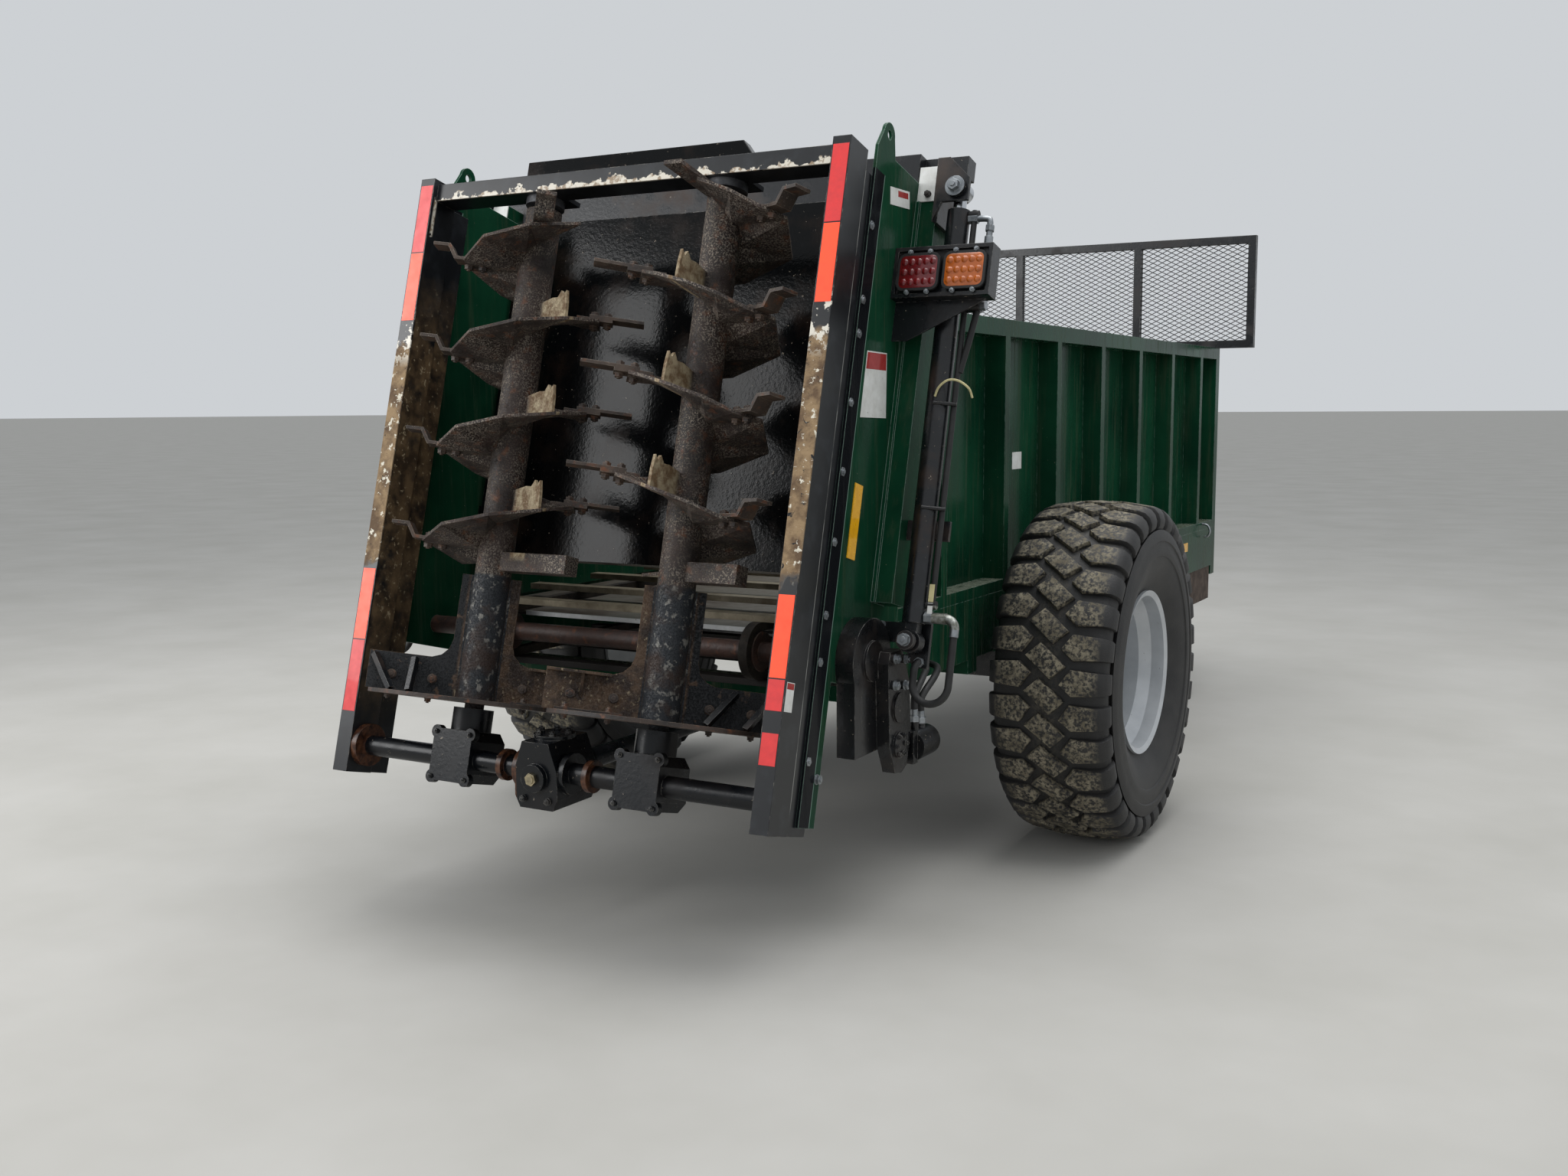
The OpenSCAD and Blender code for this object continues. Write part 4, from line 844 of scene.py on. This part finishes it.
# %% Bolts of the gearbox, the T-box and its plug
bolts, cover_bolts, tee_bolts, plug = (bmesh.new() for k in range(4))
for y, z in ((0.542, 0.854), (0.612, 0.844), (0.538, 0.776), (0.608, 0.766)):
    stamp(bolts, m16, at(0.922, y, z) @ to_right)
for c, s in around(6):
    stamp(cover_bolts, m8, at(0.918, 0.592 + 0.031 * c, 0.588 + 0.031 * s) @ to_right)
    stamp(tee_bolts, m12, at(0.049 * c, 0.1197 + 0.049 * s, 0.6234))
for x in (-0.045, 0.045):
    stamp(tee_bolts, m12, at(x, 0.0247, 0.440) @ to_rear)
rod(plug, [(0, 0.0085, 0.506), (0, -0.003, 0.506)], 0.020, 6)
rod(plug, [(0, -0.003, 0.506), (0, -0.006, 0.506)], 0.013)
make_piece("gearbox_bolts", bolts, zinc, BOX, 30)
make_piece("gearbox_cover_bolts", cover_bolts, black_oily, BOX, 30)
make_piece("tee_box_bolts", tee_bolts, black_oily, BOX, 30)
make_piece("tee_box_plug", plug, brass, BOX, 30)

# %% Bolts on the beaters
# side: outer knife angle, its lowest seat, inner knife angle, its lowest seat
knife_places = {1: (17.6, 0.863, 142, 0.9677), -1: (27, 0.754, 214, 0.9114)}
turn_rise = 0.303
# distances from the axis of the upper and the lower end of each fin's two braces
brace_ends = {1: ((0.215, 0.130), (0.325, 0.245)), -1: ((0.200, 0.200), (0.325, 0.255))}


def round_beater(side, angle, r, up):
    """A place round a beater: X points away from its axis, Z up the lean."""
    a = math.radians(angle)
    turn = Matrix.Rotation(-a if side > 0 else math.pi + a, 4, "Z")
    return at(side * beater_x, spin_ahead, 0) @ turn @ at(r, 0, up)


for side, name in ((1, "right"), (-1, "left")):
    outer, outer_low, inner, inner_low = knife_places[side]
    bolts, braces = bmesh.new(), bmesh.new()
    for k in range(4):
        for r in (0.172, 0.218):
            up = outer_low + k * turn_rise
            stamp(bolts, m16, round_beater(side, outer, r, up + 0.0102))
            stamp(bolts, m16, round_beater(side, outer, r, up - 0.010) @ to_ground)
        for r, low in ((0.205, -0.010), (0.248, 0.0)) if k < 3 else ():
            up = inner_low + k * turn_rise
            stamp(bolts, m16, round_beater(side, inner, r, up + 0.0202))
            stamp(bolts, m16, round_beater(side, inner, r, up + low) @ to_ground)
    for angle in (inner, inner + 180):
        for r in (0.140, 0.265):
            for face, turned in ((0.005, to_front), (-0.005, to_rear)):
                stamp(bolts, m16, round_beater(side, angle, r, 0.322) @ at(0, face, 0) @ turned)
            foot_bolt = round_beater(side, angle, r + 0.01, 0.280) @ at(0, side * 0.030, 0)
            stamp(bolts, m12, foot_bolt)
            stamp(bolts, m12, foot_bolt @ at(0, 0, -0.020) @ to_ground)
    # square bars brace each outer fin from behind, from its top edge down to the disc
    for top_r, low_r in brace_ends[side]:
        high_end = round_beater(side, inner + 180, top_r, 0.380) @ Vector((0, -side * 0.004, 0))
        low_end = round_beater(side, inner + 180, low_r, 0.276) @ Vector((0, -side * 0.055, 0))
        rod(braces, [high_end, low_end], 0.013, 4)
    body = name + "_beater_body"
    make_piece(name + "_beater_bolts", bolts, bolt_rust, LEAN, 30, body)
    make_piece(name + "_fin_braces", braces, black_stained, LEAN, None, body)

# %% Wheel nuts and hub caps
nut_circle = 0.1675
for side, body, turned in ((1, "right_wheel", to_right), (-1, "left_wheel", to_left)):
    nuts = bmesh.new()
    for c, s in around(10):
        stamp(nuts, m20, at(side * -0.079, nut_circle * c, nut_circle * s) @ turned)
    for out, r, deep in ((-0.053, 0.062, 0.020), (-0.033, 0.050, 0.012)):
        bmesh.ops.create_cone(nuts, cap_ends=True, segments=48, radius1=r, radius2=r * 0.94, depth=deep,
                              matrix=at(side * (out + deep / 2), 0, 0) @ turned)
    make_piece(body + "_nuts", nuts, zinc, at(*wheel_joints[body]), 30, body)

# %% [markdown]
# Oil goes up the cylinders through pipes with silver elbows at the top, and to the motor through two
# hoses. Behind each lamp a clamp holds the pipe, and a cream wire loops round it lower down.

# %% Pipes, hoses and wires
elbows, hoses, clamps, wires = (bmesh.new() for k in range(4))
# each rod: its mesh, radius, number of sides, and points on the right as x, ahead and up the lean
rods = [
    (elbows, 0.015, 6, (0.988, 0.45, 1.874), (1.018, 0.45, 1.874)),
    (elbows, 0.0095, 16, (1.010, 0.45, 1.874), (1.046, 0.45, 1.872), (1.057, 0.45, 1.860),
     (1.058, 0.45, 1.800)),
    (elbows, 0.014, 6, (1.058, 0.45, 1.850), (1.058, 0.45, 1.832)),
    (elbows, 0.013, 16, (1.058, 0.45, 1.815), (1.058, 0.45, 1.786)),
    (hoses, 0.010, 16, (1.058, 0.45, 1.790), (1.057, 0.45, 1.70), (1.048, 0.45, 1.61),
     (1.030, 0.452, 1.50), (1.010, 0.452, 1.40)),
    (clamps, 0.021, 16, (0.975, 0.45, 1.604), (1.056, 0.45, 1.604)),
    (elbows, 0.016, 6, (1.056, 0.45, 1.604), (1.072, 0.45, 1.604)),
    (clamps, 0.006, 16, (0.953, 0.4135, 0.985), (0.990, 0.428, 0.985), (1.018, 0.440, 0.985)),
    (clamps, 0.006, 16, (0.953, 0.4135, 1.30), (0.990, 0.428, 1.30), (1.018, 0.440, 1.30)),
    (wires, 0.0035, 16, (0.958, 0.411, 1.318), (0.972, 0.400, 1.342), (1.000, 0.396, 1.362),
     (1.030, 0.405, 1.362), (1.056, 0.425, 1.345), (1.062, 0.446, 1.322)),
    (elbows, 0.0185, 6, (0.988, 0.45, 0.664), (1.012, 0.45, 0.664)),
    (elbows, 0.0135, 16, (1.083, 0.45, 0.640), (1.083, 0.45, 0.612)),
    (elbows, 0.015, 6, (0.971, 0.488, 0.535), (0.971, 0.472, 0.535)),
]
for side in (-1, 1):
    for bm, radius, sides, *points in rods:
        rod(bm, [(side * x, ahead_of, rise) for x, ahead_of, rise in points], radius, sides)
make_piece("pipe_fittings", elbows, zinc, LEAN, 30)
make_piece("upper_hoses", hoses, hose_black, LEAN, 40)
make_piece("pipe_clamps", clamps, black_oily, LEAN, 40)
make_piece("wire_loops", wires, tag_cream, LEAN, 40)

motor_hoses, motor_fittings = bmesh.new(), bmesh.new()
for y, z, bend in ((0.736, 0.634, 0.020), (0.786, 0.620, 0.060)):
    rod(motor_fittings, [(0.895, y, z - 0.004), (0.895, y, z + 0.014)], 0.018, 6)
    rod(motor_fittings, [(0.895, y, z + 0.012), (0.895, y, z + 0.034)], 0.012)
    rod(motor_hoses, [(0.895, y, z + 0.030), (0.894, y + 0.01, z + 0.075),
                      (0.885, y + 0.07 + bend, z + 0.120), (0.850, y + 0.17 + bend, z + 0.130),
                      (0.795, y + 0.23 + bend, z + 0.130)], 0.011)
make_piece("motor_fittings", motor_fittings, zinc, BOX, 30)
make_piece("motor_hoses", motor_hoses, hose_black, BOX, 40)

# %% [markdown]
# The pin at the top of each cylinder rises with the gate, so its nut rides on the gate. So does the
# low tray that lies on the left and middle part of the gate's top beam.

# %% Pins and tray of the gate
pins, tray = bmesh.new(), bmesh.new()
for x in (-cylinder_x, cylinder_x):
    stamp(pins, m20, at(x, 0.395, 1.961) @ to_rear)
    rod(pins, [(x, 0.397, 1.961), (x, 0.393, 1.961)], 0.031, 24)
make_piece("gate_pin_nuts", pins, zinc, LEAN, 30, "gate")
for v in add_box(tray, (-0.790, 0.500, 2.1202), (0.120, 0.545, 2.232)):
    v.co.x += 0.09 if v.co.x > 0 and v.co.z < 2.2 else 0
round_edges(tray, tray.edges[:], 0.003)
make_piece("gate_top_tray", tray, gate_black, LEAN, None, "gate")

# %% [markdown]
# The stickers are polyester film. They stay blank: white, with a red band where a heading would be.

# %% Stickers and tags
film = 0.0006


def sheet_on_side(bm, x, corners, thick=film):
    """A thin flat sheet on a surface that faces +X, by its corners in the other two directions."""
    face = bm.faces.new([bm.verts.new((x, a, b)) for a, b in corners])
    top = verts_in(bmesh.ops.extrude_face_region(bm, geom=[face])["geom"])
    bmesh.ops.translate(bm, vec=(thick, 0, 0), verts=top)


def part_of(corners, u0, u1, v0, v1):
    """A smaller quad in a quad whose corners run: top left, top right, low right, low left."""
    a, b, c, d = (Vector(q) for q in corners)
    return [tuple((a.lerp(b, u)).lerp(d.lerp(c, u), v)) for u, v in ((u0, v0), (u1, v0), (u1, v1), (u0, v1))]


big_sticker = [(0.230, 1.407), (0.359, 1.437), (0.402, 1.249), (0.233, 1.209)]
small_sticker = [(0.255, 1.914), (0.387, 1.949), (0.401, 1.899), (0.268, 1.864)]
post_sticker = [(0.006, 0.417), (0.050, 0.417), (0.050, 0.336), (0.006, 0.336)]
paper, band, box_paper, tags, labels = (bmesh.new() for k in range(5))
for x, corners, red_part in ((0.8102, big_sticker, (0.03, 0.97, 0.02, 0.27)),
                             (0.8102, small_sticker, (0.40, 0.92, 0.12, 0.46)),
                             (0.8002, post_sticker, (0.06, 0.94, 0.03, 0.24))):
    sheet_on_side(paper, x, corners)
    sheet_on_side(band, x + film, part_of(corners, *red_part), 0.0002)
sheet_on_side(box_paper, 0.7202, [(2.02, 1.41), (2.12, 1.41), (2.12, 1.345), (2.02, 1.345)])
add_box(tags, (0.996, 0.4385, 0.710), (1.012, 0.4400, 0.762))
add_box(labels, (0.996, 0.4385, 0.655), (1.012, 0.4400, 0.707))
make_piece("sticker_bands", band, sticker_red, LEAN)
make_piece("stickers", paper, white_plastic, LEAN)
make_piece("box_sticker", box_paper, white_plastic, BOX)
make_piece("pipe_label", labels, white_plastic, LEAN)
make_piece("pipe_tag", tags, tag_cream, LEAN)

# %% Bright lip of the floor and hook of the side
lips, hook = bmesh.new(), bmesh.new()
for low, high in ((-0.712, -0.508), (-0.452, 0.452), (0.508, 0.712)):
    add_box(lips, (low, 0.5560, 0.896), (high, 0.5625, 0.9105))
rod(hook, [(0.798, 4.70, 0.952), (0.828, 4.70, 0.945), (0.842, 4.70, 0.915), (0.832, 4.70, 0.888),
           (0.812, 4.70, 0.884)], 0.006)
make_piece("floor_lip", lips, lip_steel, BOX)
make_piece("rope_hook", hook, zinc, BOX, 40)

# %% [markdown]
# The stage is a wide pale floor, and the light is soft: an even bright sky, one large lamp overhead
# and one from the camera's left, as on an overcast day.

# %% Stage
floor_bm = bmesh.new()
bmesh.ops.create_grid(floor_bm, x_segments=1, y_segments=1, size=400)
floor = bpy.data.objects.new("floor", as_mesh(floor_bm, "floor"))
bpy.context.scene.collection.objects.link(floor)
m = Finish("pale_floor")
shade = m.layers("#BBB9B4", (m.patches(900, 0.3, 0.7), "#B1AFA9"))
m.tree.links.new(shade, m.shader.inputs["Base Color"])
m.shader.inputs["Roughness"].default_value = 0.9
floor.data.materials.append(m.material)

world = bpy.data.worlds.new("overcast")
bpy.context.scene.world = world
world.use_nodes = True
world.node_tree.nodes.clear()
sky = put(world.node_tree, "Background", {"Color": hex_colour("#E9EDF1"), "Strength": 0.75})
put(world.node_tree, "OutputWorld", {"Surface": sky.outputs[0]})


def soft_light(name, place, towards, size, power):
    light = bpy.data.lights.new(name, "AREA")
    light.shape = "SQUARE"
    light.size = size
    light.energy = power
    lamp = bpy.data.objects.new(name, light)
    facing = (Vector(towards) - Vector(place)).to_track_quat("-Z", "Y")
    lamp.matrix_world = at(*place) @ facing.to_matrix().to_4x4()
    bpy.context.scene.collection.objects.link(lamp)


soft_light("overhead", (0.5, -1.0, 7.0), (0, 0, 0.8), 7.0, 420)
soft_light("left_front", (-5.5, -7.5, 4.0), (0, -2.5, 1.0), 4.0, 260)
bpy.context.scene.view_settings.view_transform = "Standard"
print("lights:", len(bpy.data.lights))
